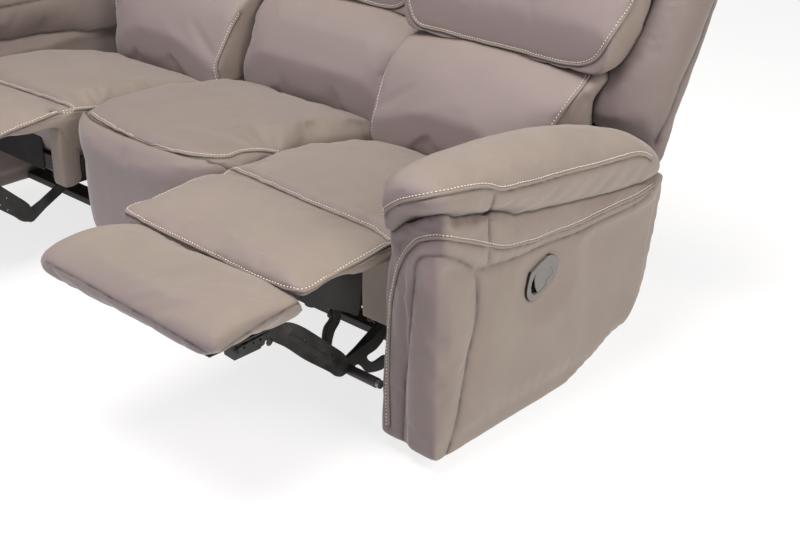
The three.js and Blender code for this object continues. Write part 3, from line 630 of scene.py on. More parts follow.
# %% Distances and noise
def beside_line(points, line, reach):
    """For points nearer to a line than reach: which, how far, and how far along it."""
    low, high = line.min(axis=0) - reach, line.max(axis=0) + reach
    near = np.where(((points > low) & (points < high)).all(axis=1))[0]
    if not len(near):
        return near, np.empty(0), np.empty(0)
    ways = np.gradient(line, axis=0)
    ways /= np.maximum(np.linalg.norm(ways, axis=1), 1e-9)[:, None]
    half = 0.5 * SEAM_STEP * MM
    far = np.empty(len(near))
    along = np.empty(len(near))
    for start in range(0, len(near), 2000):
        chunk = points[near[start:start + 2000]]
        nearest = ((chunk[:, None, :] - line[None, :, :]) ** 2).sum(axis=2).argmin(axis=1)
        gap = chunk - line[nearest]
        ahead = np.clip((gap * ways[nearest]).sum(axis=1), -half, half)
        far[start:start + 2000] = np.linalg.norm(gap - ways[nearest] * ahead[:, None], axis=1)
        along[start:start + 2000] = nearest * SEAM_STEP * MM + ahead
    inside = far < reach
    return near[inside], far[inside], along[inside]


def lattice(cells, seed):
    """A value from -1 to 1 for each cell, mixed from its three whole numbers and the seed."""
    mixed = cells[..., 0] * 73856093 ^ cells[..., 1] * 19349663 ^ cells[..., 2] * 83492791
    mixed = mixed ^ seed * 2654435
    mixed = (mixed ^ (mixed >> 13)) * 1274126177
    return ((mixed ^ (mixed >> 16)) & 0xFFFF) / 32767.5 - 1


def ripple(points, size, seed):
    """Smooth noise from -1 to 1 whose bumps are about as wide as size."""
    spot = np.asarray(points) / size + 57.3
    cell = np.floor(spot).astype(np.int64)
    part = spot - cell
    part = part * part * (3 - 2 * part)
    total = 0
    for dx in (0, 1):
        for dy in (0, 1):
            for dz in (0, 1):
                weight = np.ones(len(spot))
                for axis, side in enumerate((dx, dy, dz)):
                    weight = weight * (part[:, axis] if side else 1 - part[:, axis])
                total = total + weight * lattice(cell + np.array([dx, dy, dz]), seed)
    return total


print("noise along a line:", [round(float(v), 2) for v in ripple([[x, 0, 0] for x in range(4)], 3, 1)])

# %% [markdown]
# ## What thread and stuffing do
#
# Thread pulls a soft valley into the padding on both sides of a seam, a narrow groove in it, and
# small folds that run out from it. Stuffing leaves a broad unevenness everywhere. All four move
# points along their normals, so they can follow one another in any place on the skin.

# %% Valleys, folds, unevenness and grooves
VALLEY_DEPTH, VALLEY_REACH = 3.0, 24.0
PUCKER_DEPTH, PUCKER_REACH, PUCKER_SPACING = 1.3, 45.0, 13.0
GROOVE_DEPTH, GROOVE_WIDTH = 3.8, 2.7


def pull_in(piece, line):
    """A soft valley along a line."""
    points, normals = points_of(piece), normals_of(piece)
    which, far, _ = beside_line(points, line, VALLEY_REACH * MM)
    share = (1 - far / (VALLEY_REACH * MM)) ** 2
    points[which] -= normals[which] * (share * VALLEY_DEPTH * MM)[:, None]
    move_points(piece, points)


def pucker(piece, line, seed):
    """Small folds that run out from a seam and die away."""
    points, normals = points_of(piece), normals_of(piece)
    which, far, along = beside_line(points, line, PUCKER_REACH * MM)
    spot = np.stack([
        along / (PUCKER_SPACING * MM), far / (4 * PUCKER_SPACING * MM), np.zeros(len(far))], axis=1)
    wave = ripple(spot, 1.0, seed) + 0.5 * ripple(spot * 2.1, 1.0, seed + 7)
    fade = np.exp(-far / (0.33 * PUCKER_REACH * MM)) * (1 - far / (PUCKER_REACH * MM))
    points[which] += normals[which] * (wave * fade * PUCKER_DEPTH * MM)[:, None]
    move_points(piece, points)


def ruffle(piece, depth, size, seed):
    """Broad soft unevenness, as stuffing gives."""
    points, normals = points_of(piece), normals_of(piece)
    wave = ripple(points, size * MM, seed)
    move_points(piece, points + normals * (wave * depth * MM)[:, None])


def groove(piece, line):
    points, normals = points_of(piece), normals_of(piece)
    which, far, _ = beside_line(points, line, 4 * GROOVE_WIDTH * MM)
    share = np.exp(-((far / (GROOVE_WIDTH * MM)) ** 2))
    points[which] -= normals[which] * (share * GROOVE_DEPTH * MM)[:, None]
    move_points(piece, points)


print("valleys", VALLEY_DEPTH, "mm deep, grooves", GROOVE_DEPTH, "mm deep")

# %% [markdown]
# ## Swelling
#
# Blender's cloth pushes each skin out with air pressure while the seams are pinned. All skins swell
# in one run of twenty frames. No point may move further than a cap, and no skin may leave the room
# it is given, which is the box of its solids and a little more. So cushions side by side meet
# without going through each other. The arm pillow and the wing lean over, and have more room.

# %% Pins and rooms
PIN_REACH = 9.0
FOOT_HEIGHT = 70.0


def pins(piece, lines):
    group = piece.vertex_groups.new(name="sewn")
    points = points_of(piece)
    for line in lines:
        which, far, _ = beside_line(points, line, PIN_REACH * MM)
        for vertex, gap in zip(which.tolist(), far.tolist()):
            group.add([vertex], 1 - 0.5 * gap / (PIN_REACH * MM), "REPLACE")
    group.add(np.where(points[:, 2] < FOOT_HEIGHT * MM)[0].tolist(), 1, "REPLACE")
    return group.name


def kept_in(points, low, high, soft=7.0):
    """Points pressed back softly where they come near the sides of a box."""
    soft *= MM
    top = np.maximum(points - (high - soft), 0)
    bottom = np.maximum((low + soft) - points, 0)
    return points - top + soft * np.tanh(top / soft) + bottom - soft * np.tanh(bottom / soft)


def room(nodes, sideways, beyond, above):
    """The box of some nodes, grown by a little on each side."""
    boxes = [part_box(node) for node in nodes]
    low = np.min([box[0] for box in boxes], axis=0)
    high = np.max([box[1] for box in boxes], axis=0)
    grown = np.array([sideways, beyond, above]) * MM
    return low - grown, high + grown


print("skins are held within", PIN_REACH, "mm of a seam and", FOOT_HEIGHT, "mm of the floor")

# %% [markdown]
# The swelling itself gives every skin the same pressure and the same cloth. Gravity is off, because
# the solids already have the shape that the sofa takes under its own weight.

# %% Swell as cloth
SWELL_FRAMES = 20
PRESSURE = 4.0


def swell(entries):
    """entries: piece to (seams, cap in mm or a rule for it, box to stay in)."""
    rest = {}
    for piece, (lines, _, _) in entries.items():
        rest[piece] = points_of(piece)
        cloth = piece.modifiers.new("swell", "CLOTH")
        cloth.settings.vertex_group_mass = pins(piece, lines)
        cloth.settings.use_pressure = True
        cloth.settings.uniform_pressure_force = PRESSURE
        cloth.settings.effector_weights.gravity = 0
        cloth.settings.quality = 4
        cloth.settings.shrink_min = -0.006
        cloth.settings.bending_stiffness = 3
        cloth.collision_settings.use_collision = False
        cloth.collision_settings.use_self_collision = False
        cloth.point_cache.frame_start = 1
        cloth.point_cache.frame_end = SWELL_FRAMES
    for number in range(1, SWELL_FRAMES + 1):
        bpy.context.scene.frame_set(number)
    for piece in entries:
        settle(piece)
        piece.vertex_groups.clear()
    bpy.context.scene.frame_set(1)
    for piece, (_, cap, (low, high)) in entries.items():
        moved = points_of(piece) - rest[piece]
        length = np.linalg.norm(moved, axis=1)
        if callable(cap):
            cap = cap(rest[piece] / MM)
        moved *= np.minimum(1, cap * MM / np.maximum(length, 1e-9))[:, None]
        move_points(piece, kept_in(rest[piece] + moved, low, high))
        print("swelled", piece.name, "mean", round(float(length.mean()) / MM, 1), "mm")


print("cloth runs for", SWELL_FRAMES, "frames")

# %% [markdown]
# ## Seams, welts and stitches
#
# A sewn seam on this sofa shows three things: a dark line where two panels meet, which is a groove
# with painted shade in it, a narrow raised welt beside it, and a row of cream stitches a few
# millimetres up the panel. The welt is a thin tube half sunk in the cover. The stitches are one small
# bead, repeated by Geometry Nodes along the line, because hundreds of equal small shapes are a rule
# and not a drawing.

# %% Node trees for stitches and welts
def tree_with_inputs(name, inputs):
    tree = bpy.data.node_groups.new(name, "GeometryNodeTree")
    tree.interface.new_socket("Geometry", in_out="INPUT", socket_type="NodeSocketGeometry")
    for socket, kind in inputs:
        tree.interface.new_socket(socket, in_out="INPUT", socket_type=kind)
    tree.interface.new_socket("Geometry", in_out="OUTPUT", socket_type="NodeSocketGeometry")
    return tree, add_node(tree, "NodeGroupInput"), add_node(tree, "NodeGroupOutput")


def ball(tree, segments, rings):
    """A ball one unit across, which the instances then scale."""
    node = add_node(tree, "GeometryNodeMeshUVSphere")
    node.inputs["Segments"].default_value = segments
    node.inputs["Rings"].default_value = rings
    node.inputs["Radius"].default_value = 0.5
    return node.outputs["Mesh"]


def end_tree(tree, geometry, material, end):
    """Every tree ends alike: instances become real, then smooth, then get their material."""
    for kind in ("RealizeInstances", "SetShadeSmooth", "SetMaterial"):
        node = add_node(tree, "GeometryNode" + kind)
        tree.links.new(geometry, node.inputs["Geometry"])
        geometry = node.outputs["Geometry"]
    tree.links.new(material, node.inputs["Material"])
    tree.links.new(geometry, end.inputs["Geometry"])
    return tree


def stitch_tree():
    tree, start, end = tree_with_inputs("stitches along lines", [
        ("Pitch", "NodeSocketFloat"), ("Size", "NodeSocketVector"), ("Thread", "NodeSocketMaterial")])
    line = add_node(tree, "GeometryNodeMeshToCurve")
    spread = add_node(tree, "GeometryNodeCurveToPoints", mode="LENGTH")
    repeat = add_node(tree, "GeometryNodeInstanceOnPoints")
    for source, target in (
        (start.outputs["Geometry"], line.inputs["Mesh"]),
        (line.outputs["Curve"], spread.inputs["Curve"]),
        (start.outputs["Pitch"], spread.inputs["Length"]),
        (spread.outputs["Points"], repeat.inputs["Points"]),
        (spread.outputs["Rotation"], repeat.inputs["Rotation"]),
        (ball(tree, 6, 4), repeat.inputs["Instance"]),
        (start.outputs["Size"], repeat.inputs["Scale"]),
    ):
        tree.links.new(source, target)
    return end_tree(tree, repeat.outputs["Instances"], start.outputs["Thread"], end)


def welt_tree():
    tree, start, end = tree_with_inputs("welt along lines", [
        ("Radius", "NodeSocketFloat"), ("Cover", "NodeSocketMaterial")])
    line = add_node(tree, "GeometryNodeMeshToCurve")
    section = add_node(tree, "GeometryNodeCurvePrimitiveCircle")
    section.inputs["Resolution"].default_value = 10
    tube = add_node(tree, "GeometryNodeCurveToMesh")
    tube.inputs["Fill Caps"].default_value = True
    for source, target in (
        (start.outputs["Geometry"], line.inputs["Mesh"]),
        (line.outputs["Curve"], tube.inputs["Curve"]),
        (start.outputs["Radius"], section.inputs["Radius"]),
        (section.outputs["Curve"], tube.inputs["Profile Curve"]),
    ):
        tree.links.new(source, target)
    return end_tree(tree, tube.outputs["Mesh"], start.outputs["Cover"], end)


stitches_on_lines = stitch_tree()
welts_on_lines = welt_tree()
print("node trees:", stitches_on_lines.name, "and", welts_on_lines.name)

# %% [markdown]
# ## Growing along lines
#
# A tree needs a mesh to grow from, and the bare line is one: points with an edge from each to the
# next. The tree's inputs are set by their identifiers, since two inputs may share a name. A welt or
# a row of stitches doesn't lie on the seam itself, so a line can also be moved sideways on its skin.

# %% Growing along lines
def lines_mesh(name, lines):
    points, edges = [], []
    for line in lines:
        edges += [(len(points) + i, len(points) + i + 1) for i in range(len(line) - 1)]
        points += [tuple(point) for point in line]
    mesh = bpy.data.meshes.new(name)
    mesh.from_pydata(points, edges, [])
    return mesh


def grown(name, lines, tree, values, material):
    """The mesh that a tree grows along lines."""
    piece = new_object(name, lines_mesh(name, lines), material)
    modifier = piece.modifiers.new("grow", "NODES")
    modifier.node_group = tree
    for item in tree.interface.items_tree:
        if item.in_out == "INPUT" and item.name in values:
            modifier[item.identifier] = values[item.name]
    piece.data.update()
    settle(piece)
    return piece


def laid(tree, line, aside=0.0, lift=0.0):
    """A line moved sideways over a skin, in millimetres, and lifted off it."""
    line = np.asarray(line)
    ways = np.gradient(line, axis=0)
    result = []
    for point, way in zip(line, ways):
        near, normal, _, _ = tree.find_nearest(Vector(point))
        side = normal.cross(Vector(way).normalized())
        near, normal, _, _ = tree.find_nearest(near + side * aside * MM)
        result.append(near + normal * lift * MM)
    return relaxed(np.array(result), 3)


print("a tree grows along any line of points")

# %% [markdown]
# ## Marks that the finish reads
#
# The cover's finish reads three marks of painted light off the mesh: painted shade near a seam and
# where two cushions press together, a painted reflection and shade where a face looks forward, and
# the painted shade of each piece's rule. Each is a number from 0 to 1 on every point. The squares
# beside a seam are halved first, because a mark can't be finer than the mesh it is on.

# %% Painted shade in creases and meetings, painted reflection and shade
REFINE_REACH = 13.0
CREASE_SHADE_WIDTH, CREASE_SHADE_FADE, CREASE_SHADE_REACH = 2.6, 8, 24
MEETING_SHADE_WIDTH, MEETING_SHADE_REACH = 4, 12


def refine_near(piece, lines):
    """Halves the squares beside seams, so that a narrow groove keeps its shape."""
    points = points_of(piece)
    near = np.zeros(len(points), bool)
    for line in lines:
        near[beside_line(points, line, REFINE_REACH * MM)[0]] = True
    work = bmesh.new()
    work.from_mesh(piece.data)
    edges = [edge for edge in work.edges if near[edge.verts[0].index] and near[edge.verts[1].index]]
    bmesh.ops.subdivide_edges(work, edges=edges, cuts=1, use_grid_fill=True)
    work.to_mesh(piece.data)
    work.free()
    piece.data.update()


def store(piece, name, values):
    """Puts one number per point on the mesh, where a finish can read it."""
    stored = piece.data.attributes.get(name) or piece.data.attributes.new(name, "FLOAT", "POINT")
    stored.data.foreach_set("value", values.astype(np.float32))


def paint_crease_shade(piece, lines):
    """Stores painted shade near each seam: a dark line that the cover's finish mixes in."""
    points = points_of(piece)
    crease = np.zeros(len(points))
    for line in lines:
        which, far, _ = beside_line(points, line, CREASE_SHADE_REACH * MM)
        share = 0.75 * np.exp(-((far / (CREASE_SHADE_WIDTH * MM)) ** 2))
        share = share + 0.25 * np.exp(-((far / (CREASE_SHADE_FADE * MM)) ** 2))
        crease[which] = np.maximum(crease[which], share)
    store(piece, "crease", crease)


def paint_meeting_shade(pieces):
    """Paints shade where two cushions of one body press together: a dark line on the cover."""
    trees = [tree_of(piece) for piece in pieces]
    for number, piece in enumerate(pieces):
        points = points_of(piece)
        crease = np.zeros(len(points), dtype=np.float32)
        stored = piece.data.attributes.get("crease")
        if stored:
            stored.data.foreach_get("value", crease)
        for other, tree in enumerate(trees):
            if other == number:
                continue
            corners = points_of(pieces[other])
            low = corners.min(axis=0) - MEETING_SHADE_REACH * MM
            high = corners.max(axis=0) + MEETING_SHADE_REACH * MM
            for index in np.flatnonzero(((points > low) & (points < high)).all(axis=1)):
                far = tree.find_nearest(points[index], MEETING_SHADE_REACH * MM)[3]
                if far is not None:
                    dark = 0.8 * np.exp(-((far / (MEETING_SHADE_WIDTH * MM)) ** 2))
                    crease[index] = max(crease[index], dark)
        store(piece, "crease", crease)


def paint_front_light_and_shade(piece, shade):
    """Stores painted light: a rosier, darker painted reflection and shade on forward faces, and a rule's
    painted shade.
    """
    normals = normals_of(piece)
    points = points_of(piece) / MM
    points[:, 1] -= front_line / MM
    forward = np.clip((-normals[:, 1] - 0.2) / 0.7, 0, 1)
    store(piece, "turned", forward)
    store(piece, "shaded", shade(points, normals) if shade else np.zeros(len(points)))


print("a seam darkens the cover within", CREASE_SHADE_REACH, "mm")

# %% [markdown]
# ## Sewing
#
# One function sews a whole piece in the order in which a cover comes to look as it does: first the
# folds and valleys, then the finer mesh and the marks on it, then the lines for the welt and the
# stitches beside each seam, laid before the groove is pressed in so that they don't sink with it.

# %% Sew
STITCH_PITCH, STITCH_LENGTH, STITCH_WIDTH, STITCH_HEIGHT = 8.0, 4.9, 2.5, 2.0
WELT_RADIUS = 3.2
WELT_ASIDE, STITCH_ASIDE = 3.7, 9.6
WELT_LIFT, STITCH_LIFT = -0.6, 0.5


def sew(piece, seams, seed):
    """Puckers, grooves, welts and stitches. seams is a list of (line, side of the stitches)."""
    tree = tree_of(piece)
    lines = [laid(tree, line) for line, _ in seams]
    for number, line in enumerate(lines):
        pucker(piece, line, seed + 11 * number)
        pull_in(piece, line)
    refine_near(piece, lines)
    # painted shade along the seams
    paint_crease_shade(piece, lines)
    tree = tree_of(piece)
    sewn = [(line, side) for line, (_, side) in zip(lines, seams) if side]
    welts = [laid(tree, line, side * WELT_ASIDE, WELT_LIFT) for line, side in sewn]
    rows = [evenly(laid(tree, line, side * STITCH_ASIDE, STITCH_LIFT)) for line, side in sewn]
    for line in lines:
        groove(piece, line)
    extras = []
    if sewn:
        values = {"Radius": WELT_RADIUS * MM, "Cover": cover}
        extras.append(grown(piece.name + "_welts", welts, welts_on_lines, values, cover))
        size = (STITCH_HEIGHT * MM, STITCH_WIDTH * MM, STITCH_LENGTH * MM)
        values = {"Pitch": STITCH_PITCH * MM, "Size": size, "Thread": thread}
        extras.append(grown(piece.name + "_stitches", rows, stitches_on_lines, values, thread))
    return extras


print("stitches every", STITCH_PITCH, "mm,", STITCH_ASIDE, "mm beside the seam")

# %% [markdown]
# ## Skins of the right side and the middle
#
# The sofa is the same on both sides, so the right side and the middle seat are made, and the left
# side is their mirror image. The seat and the pad in front of it share one cover, so their two
# solids become one skin, with a strip that fills the dip between them.

# %% Grow the skins
ARM_SQUARE, CUSHION_SQUARE, PANEL_SQUARE, FASCIA_SQUARE = 8.5, 10.0, 8, 6
FOLD_Y = -100.0
STRIP_INSET, STRIP_LOW, STRIP_PARTS = 3.0, 408.0, 14
ABOVE_SEAT = 700


def bridge(node_back, node_front, back_y, front_y):
    """A strip between two neighbours whose top runs straight from one to the other."""
    sides = [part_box(node_back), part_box(node_front)]
    left = max(side[0][0] for side in sides) / MM + STRIP_INSET
    right = min(side[1][0] for side in sides) / MM - STRIP_INSET
    tops = []
    for node, y in ((node_back, back_y), (node_front, front_y)):
        tree = tree_of(frame["nodes"][node])
        row = []
        for x in np.linspace(left, right, STRIP_PARTS + 1):
            hit = tree.ray_cast(place(x, y, ABOVE_SEAT), Vector((0, 0, -1)))[0]
            row.append((x, y, hit.z / MM - 0.5))
        tops.append(row)
    work = bmesh.new()
    upper = [[work.verts.new(place(*point)) for point in row] for row in tops]
    lower = [[work.verts.new(place(x, y, STRIP_LOW)) for x, y, _ in row] for row in tops]
    for k in range(STRIP_PARTS):
        work.faces.new((upper[0][k], upper[0][k + 1], upper[1][k + 1], upper[1][k]))
        work.faces.new((lower[1][k], lower[1][k + 1], lower[0][k + 1], lower[0][k]))
        work.faces.new((lower[0][k], lower[0][k + 1], upper[0][k + 1], upper[0][k]))
        work.faces.new((upper[1][k], upper[1][k + 1], lower[1][k + 1], lower[1][k]))
    work.faces.new((lower[0][0], upper[0][0], upper[1][0], lower[1][0]))
    work.faces.new((upper[0][-1], lower[0][-1], lower[1][-1], upper[1][-1]))
    bmesh.ops.recalc_face_normals(work, faces=work.faces)
    mesh = bpy.data.meshes.new("bridge")
    work.to_mesh(mesh)
    work.free()
    return mesh


arm = skin("arm_cover_right", ["arm_body_right", "arm_front_panel_right"], ARM_SQUARE, rounds=2)
pillow = skin("arm_pillow_cover_right", ["arm_pillow_right"], CUSHION_SQUARE)
strip = bridge("seat_cushion_right", "leg_pad_right", FOLD_Y + 75, FOLD_Y - 45)
seat = skin("seat_cover_right", ["seat_cushion_right", "leg_pad_right"], CUSHION_SQUARE, extra=strip)
footrest = skin("footrest_cover_right", ["footrest_pad_right"], CUSHION_SQUARE)
lumbar = skin("lumbar_cover_right", ["lumbar_cushion_right"], CUSHION_SQUARE)
head = skin("head_cover_right", ["head_cushion_right"], CUSHION_SQUARE)
wing = skin("back_wing_cover_right", ["back_wing_right"], CUSHION_SQUARE)
rear = skin("rear_cover_skin_right", ["rear_cover_right"], CUSHION_SQUARE, material=back_cloth)
fascia = skin("seat_front_cover_right", ["seat_fascia_right"], FASCIA_SQUARE)
front_lining = thin_skin("front_lining_skin_right", "front_lining_right", lining)
middle_seat = skin("middle_seat_cover", ["centre_cushion"], CUSHION_SQUARE)
middle_front = skin("middle_front_cover", ["centre_front_panel"], PANEL_SQUARE)
middle_lumbar = skin("middle_lumbar_cover", ["centre_lumbar"], CUSHION_SQUARE)
middle_head = skin("middle_head_cover", ["centre_head"], CUSHION_SQUARE)
middle_rear = skin("middle_rear_skin", ["centre_rear_cover"], CUSHION_SQUARE, material=back_cloth)
made = [piece for piece in bpy.data.objects if piece.type == "MESH" and not piece.parent]
print("skins and their squares:", {piece.name: len(piece.data.polygons) for piece in made})

# %% [markdown]
# ## Fuller than foam
#
# A cover hangs a little differently from the foam below it. Each difference is one rule, which moves
# points given in millimetres from the sofa's middle, the arms' front and the floor. Most rules are
# products of one smooth step: nothing before one place, all of it after another.


# %% A step and the plain rules
def ease(value, start, end):
    """0 before start, 1 after end, and smooth between them."""
    share = np.clip((value - start) / (end - start), 0, 1)
    return share * share * (3 - 2 * share)


def reshape(piece, rule, **values):
    points = points_of(piece) / MM
    points[:, 1] -= front_line / MM
    rule(points, **values)
    points[:, 1] += front_line / MM
    move_points(piece, points * MM)


def shift(points, x, y):
    points[:, 0] += x
    points[:, 1] += y


def narrow(points, start, share):
    points[:, 0] -= np.maximum(points[:, 0] - start, 0) * share


def shorten(points, start, share):
    past = np.maximum(points[:, 1] - start, 0)
    points[:, 1] -= past * share


def stretch_up(points, middle, top):
    """The upper half of a piece stretched up to a height."""
    upper = points[:, 2] > middle
    highest = points[:, 2].max()
    points[upper, 2] = middle + (points[upper, 2] - middle) * (top - middle) / (highest - middle)


print("a step is", [round(float(ease(v, 0, 4)), 2) for v in range(5)])

# %% [markdown]
# ## Rules for the backs
#
# The back cushions lean with the frame behind them. They sag forward and down until they rest on the
# seat, and each is thinner where the next one lies over it.

# %% Rules for the backs
BACK_FOOT_Y, BACK_FOOT_Z, LEAN = 694.0, 340.0, 0.404
SLIDE_TRAVEL = 78.0


def sag(points, back, fuller, thick, drop, low, wider):
    """A back cushion fuller at its face, lower at its foot and wider towards the middle."""
    face = BACK_FOOT_Y + (points[:, 2] - BACK_FOOT_Z) * LEAN + back
    depth = face - points[:, 1]
    out = ease(depth, 0, thick)
    points[:, 1] -= fuller * out
    points[:, 2] -= drop * out * (1 - ease(points[:, 2], low, low + 90))
    inner = 1 - ease(points[:, 0], 296, 420)
    points[:, 0] -= wider * out * inner


def taper(points, back, amount):
    """A back cushion's face draws in towards its lower outer corner."""
    depth = BACK_FOOT_Y + (points[:, 2] - BACK_FOOT_Z) * LEAN + back - points[:, 1]
    low = np.clip((650 - points[:, 2]) / 150, 0, 1.3)
    points[:, 0] -= amount * low * ease(points[:, 0], 560, 865) * ease(depth, 20, 120)


def lean_top(points, amount):
    """The top of a lower back cushion lies back under the edge of the one above."""
    points[:, 1] += amount * ease(points[:, 2], 560, 650)


print("the backs lean by", round(math.degrees(math.atan(LEAN)), 1), "degrees")

# %% [markdown]
# ## Rules for the seats and footrests
#
# The seat's rear end is pushed up behind the sitter, its front is a thin lip, and the footrest's
# padding runs on under the edge of the leg pad.

# %% Rules for the seats and footrests
SEAT_PITCH = 585.0


def lift_rear(points, start, end, lift):
    high = ease(points[:, 2], 330, 400)
    points[:, 2] += lift * high * ease(points[:, 1], start, end)


def thin_lip(points, start, end, low):
    """The seat's cover before its front seam is a thin pad, and not as deep as the cushion."""
    share = 1 - ease(points[:, 1], start, end)
    points[:, 2] += (np.maximum(points[:, 2], low) - points[:, 2]) * share


def low_side(points, amount):
    """The seat slopes down towards the arm behind its front seam."""
    outward, behind = ease(points[:, 0], 730, 868), ease(points[:, 1], 90, 200)
    points[:, 2] -= amount * outward * behind * ease(points[:, 2], 330, 400)


def widen_pad(points, amount):
    """The leg pad's cover reaches further out on its inner side than the seat's."""
    points[:, 0] -= amount * (1 - ease(points[:, 0], 300, 400)) * (1 - ease(points[:, 1], 40, 200))


def fill_ends(points, amount):
    """Fuller padding over the footrest's two ends."""
    out = ease(np.abs(points[:, 0] - SEAT_PITCH), 190, 285)
    points[:, 2] += amount * out * ease(points[:, 2], 380, 410)
    points[:, 0] -= 5 * (1 - ease(points[:, 0], 304, 380))


def tuck_under(points, start, end, top, longer):
    """The footrest's padding, level up to its rear edge and a little longer."""
    rear = ease(points[:, 1], start, end)
    high = ease(points[:, 2], 385, 410)
    points[:, 2] += (top - points[:, 2]) * rear * high
    points[:, 1] += longer * rear


def to_inner_side(points):
    """Turns the seat's outer front cover into the narrower, deeper one on its inner side."""
    points[:, 0] = 297 + (873 - points[:, 0]) * 0.55
    points[:, 1] = 44 + (points[:, 1] - 44) * 3.4
    points[:, 2] = 416 - (416 - points[:, 2]) * 1.12


print("the end seats' middles are", SEAT_PITCH, "mm out")

# %% [markdown]
# ## Rules for the middle seat
#
# The middle seat doesn't move, so its front panel can be as round as the upholsterer likes: it draws
# back at the corners and in below its belly.


# %% Rules for the middle seat
def round_corners(points, half, amount, reach, fade):
    """Draws the front corners of a middle piece back."""
    out = np.abs(points[:, 0]) / half
    points[:, 1] += amount * out ** 5 * (1 - ease(points[:, 1], reach, reach + fade))


def belly(points, low, high, back, narrow):
    """A front panel that draws back and in below its belly."""
    under = 1 - ease(points[:, 2], low, high)
    points[:, 1] += back * under ** 2
    points[:, 0] *= 1 - narrow * under ** 2


def lean_out(points, start, amount):
    """The upper edge of the front panel brought forward under the cushion's seam."""
    points[:, 1] -= amount * ease(points[:, 2], start, start + 90)


def narrow_front(points, y, share):
    """Draws the front end of a middle piece in and back."""
    front = 1 - ease(points[:, 1], y, y + 200)
    points[:, 0] *= 1 - share * front
    points[:, 1] += 45 * front


print("middle rules ready")

# %% [markdown]
# ## Rules for the arms and wings
#
# The arm keeps its low edge and its corners, and its pillow hangs down towards the seat. The wing's
# soft inner edge leans against the back cushions.

# %% Rules for the arms and wings
PILLOW_LOW = 374
CORNER_INSET_Y, CORNER_INSET_Z = 66, 71


def square_up(points):
    """The arm's cover reaches down to its low edge and fills its inner front corner."""
    low = points[:, 2] < 150
    points[low, 2] = 150 - (150 - points[low, 2]) * 122 / (150 - points[:, 2].min())
    points[:, 1] -= 4 * (1 - ease(points[:, 1], 0, 60))
    inner = (1 - ease(points[:, 0], 884, 930)) * (1 - ease(points[:, 1], 60, 160))
    points[:, 0] -= 5 * inner * (1 - ease(points[:, 2], 340, 410))


def firm_corner(points, y, z, reach, amount):
    """Pushes a rounded corner, seen from the side, back out to where it was."""
    middle_y, middle_z = y - CORNER_INSET_Y, z + CORNER_INSET_Z
    side, up = points[:, 1] - middle_y, points[:, 2] - middle_z
    far = np.hypot(side, up)
    towards = np.clip((side - up) / (np.maximum(far, 1) * math.sqrt(2)), 0, 1) ** 4
    fade = 1 - ease(far, reach, reach + 70)
    push = amount * towards * ease(far, 15, 60) * fade / np.maximum(far, 1)
    points[:, 1] += side * push
    points[:, 2] += up * push


def drape(points, amount):
    """The arm pillow's inner side hangs down to the seat."""
    inner = 1 - ease(points[:, 0], 884, 960)
    low = np.maximum(560 - points[:, 2], 0)
    points[:, 2] = np.maximum(points[:, 2] - low * amount * inner, PILLOW_LOW)
    points[:, 0] -= 6 * inner * (1 - ease(points[:, 2], 420, 520))


def hang_low(points, amount):
    """The front of the arm pillow's outer edge hangs a little over the roll below it."""
    front = 1 - ease(points[:, 1], 110, 300)
    below = 1 - ease(points[:, 2], 500, 560)
    points[:, 2] -= amount * front * ease(points[:, 0], 930, 1000) * below


def reach_in(points, amount):
    """The wing's soft inner edge leans against the back cushions."""
    points[:, 0] -= amount * (1 - ease(points[:, 0], 870, 960))


print("arm rules ready")

# %% [markdown]
# ## Every piece by its rules
#
# Here each piece gets its own numbers. The deeper cover on the seat's inner side starts as a copy of
# the outer one. The middle frame's timber is drawn in like the panel before it.

# %% Reshape
ARM_PADDING = 2.5
reshape(fascia, stretch_up, middle=320, top=416)
inner_fascia = new_object("inner_seat_front_cover_right", fascia.data.copy(), cover)
reshape(inner_fascia, to_inner_side)
inner_fascia.data.flip_normals()
rounding = inner_fascia.modifiers.new("round", "SMOOTH")
rounding.factor = 0.5
rounding.iterations = 12
settle(inner_fascia)
for piece, back in ((lumbar, 0), (middle_lumbar, SLIDE_TRAVEL)):
    reshape(piece, sag, back=back, fuller=26, thick=140, drop=20, low=368, wider=0 if back else 8)
    reshape(piece, lean_top, amount=24)
for piece, back in ((head, 0), (middle_head, SLIDE_TRAVEL)):
    reshape(piece, sag, back=back, fuller=30, thick=126, drop=22, low=654, wider=0 if back else 8)
reshape(seat, lift_rear, start=500, end=600, lift=17)
reshape(middle_seat, lift_rear, start=570, end=670, lift=26)
reshape(middle_seat, round_corners, half=289, amount=56, reach=60, fade=160)
reshape(middle_front, stretch_up, middle=300, top=458)
reshape(middle_front, lean_out, start=330, amount=13)
reshape(middle_front, shift, x=0, y=25)
reshape(middle_front, round_corners, half=289, amount=78, reach=60, fade=300)
reshape(middle_front, belly, low=60, high=260, back=24, narrow=0.05)
move_points(arm, points_of(arm) + normals_of(arm) * ARM_PADDING * MM)
reshape(arm, square_up)
reshape(arm, firm_corner, y=666, z=109, reach=110, amount=14)
reshape(pillow, drape, amount=1.0)
reshape(pillow, hang_low, amount=9)
reshape(lumbar, narrow, start=850, share=0.2)
reshape(lumbar, taper, back=0, amount=54)
reshape(head, narrow, start=870, share=0.35)
reshape(pillow, shorten, start=640, share=0.27)
reshape(wing, narrow, start=880, share=0.1)
reshape(wing, shift, x=-15, y=-12)
reshape(wing, reach_in, amount=40)
reshape(seat, widen_pad, amount=14)
reshape(seat, thin_lip, start=44, end=70, low=408)
reshape(seat, low_side, amount=26)
reshape(footrest, fill_ends, amount=5)
reshape(footrest, tuck_under, start=-262, end=-205, top=406, longer=30)
timber_mesh = frame["nodes"]["centre_frame"].data.copy()
middle_frame = new_object("middle_frame_timber", timber_mesh, dark_timber)
reshape(middle_frame, narrow_front, y=60, share=0.2)
print("reshaped, the arm is", round(float(np.ptp(points_of(arm)[:, 2])) / MM), "mm high")

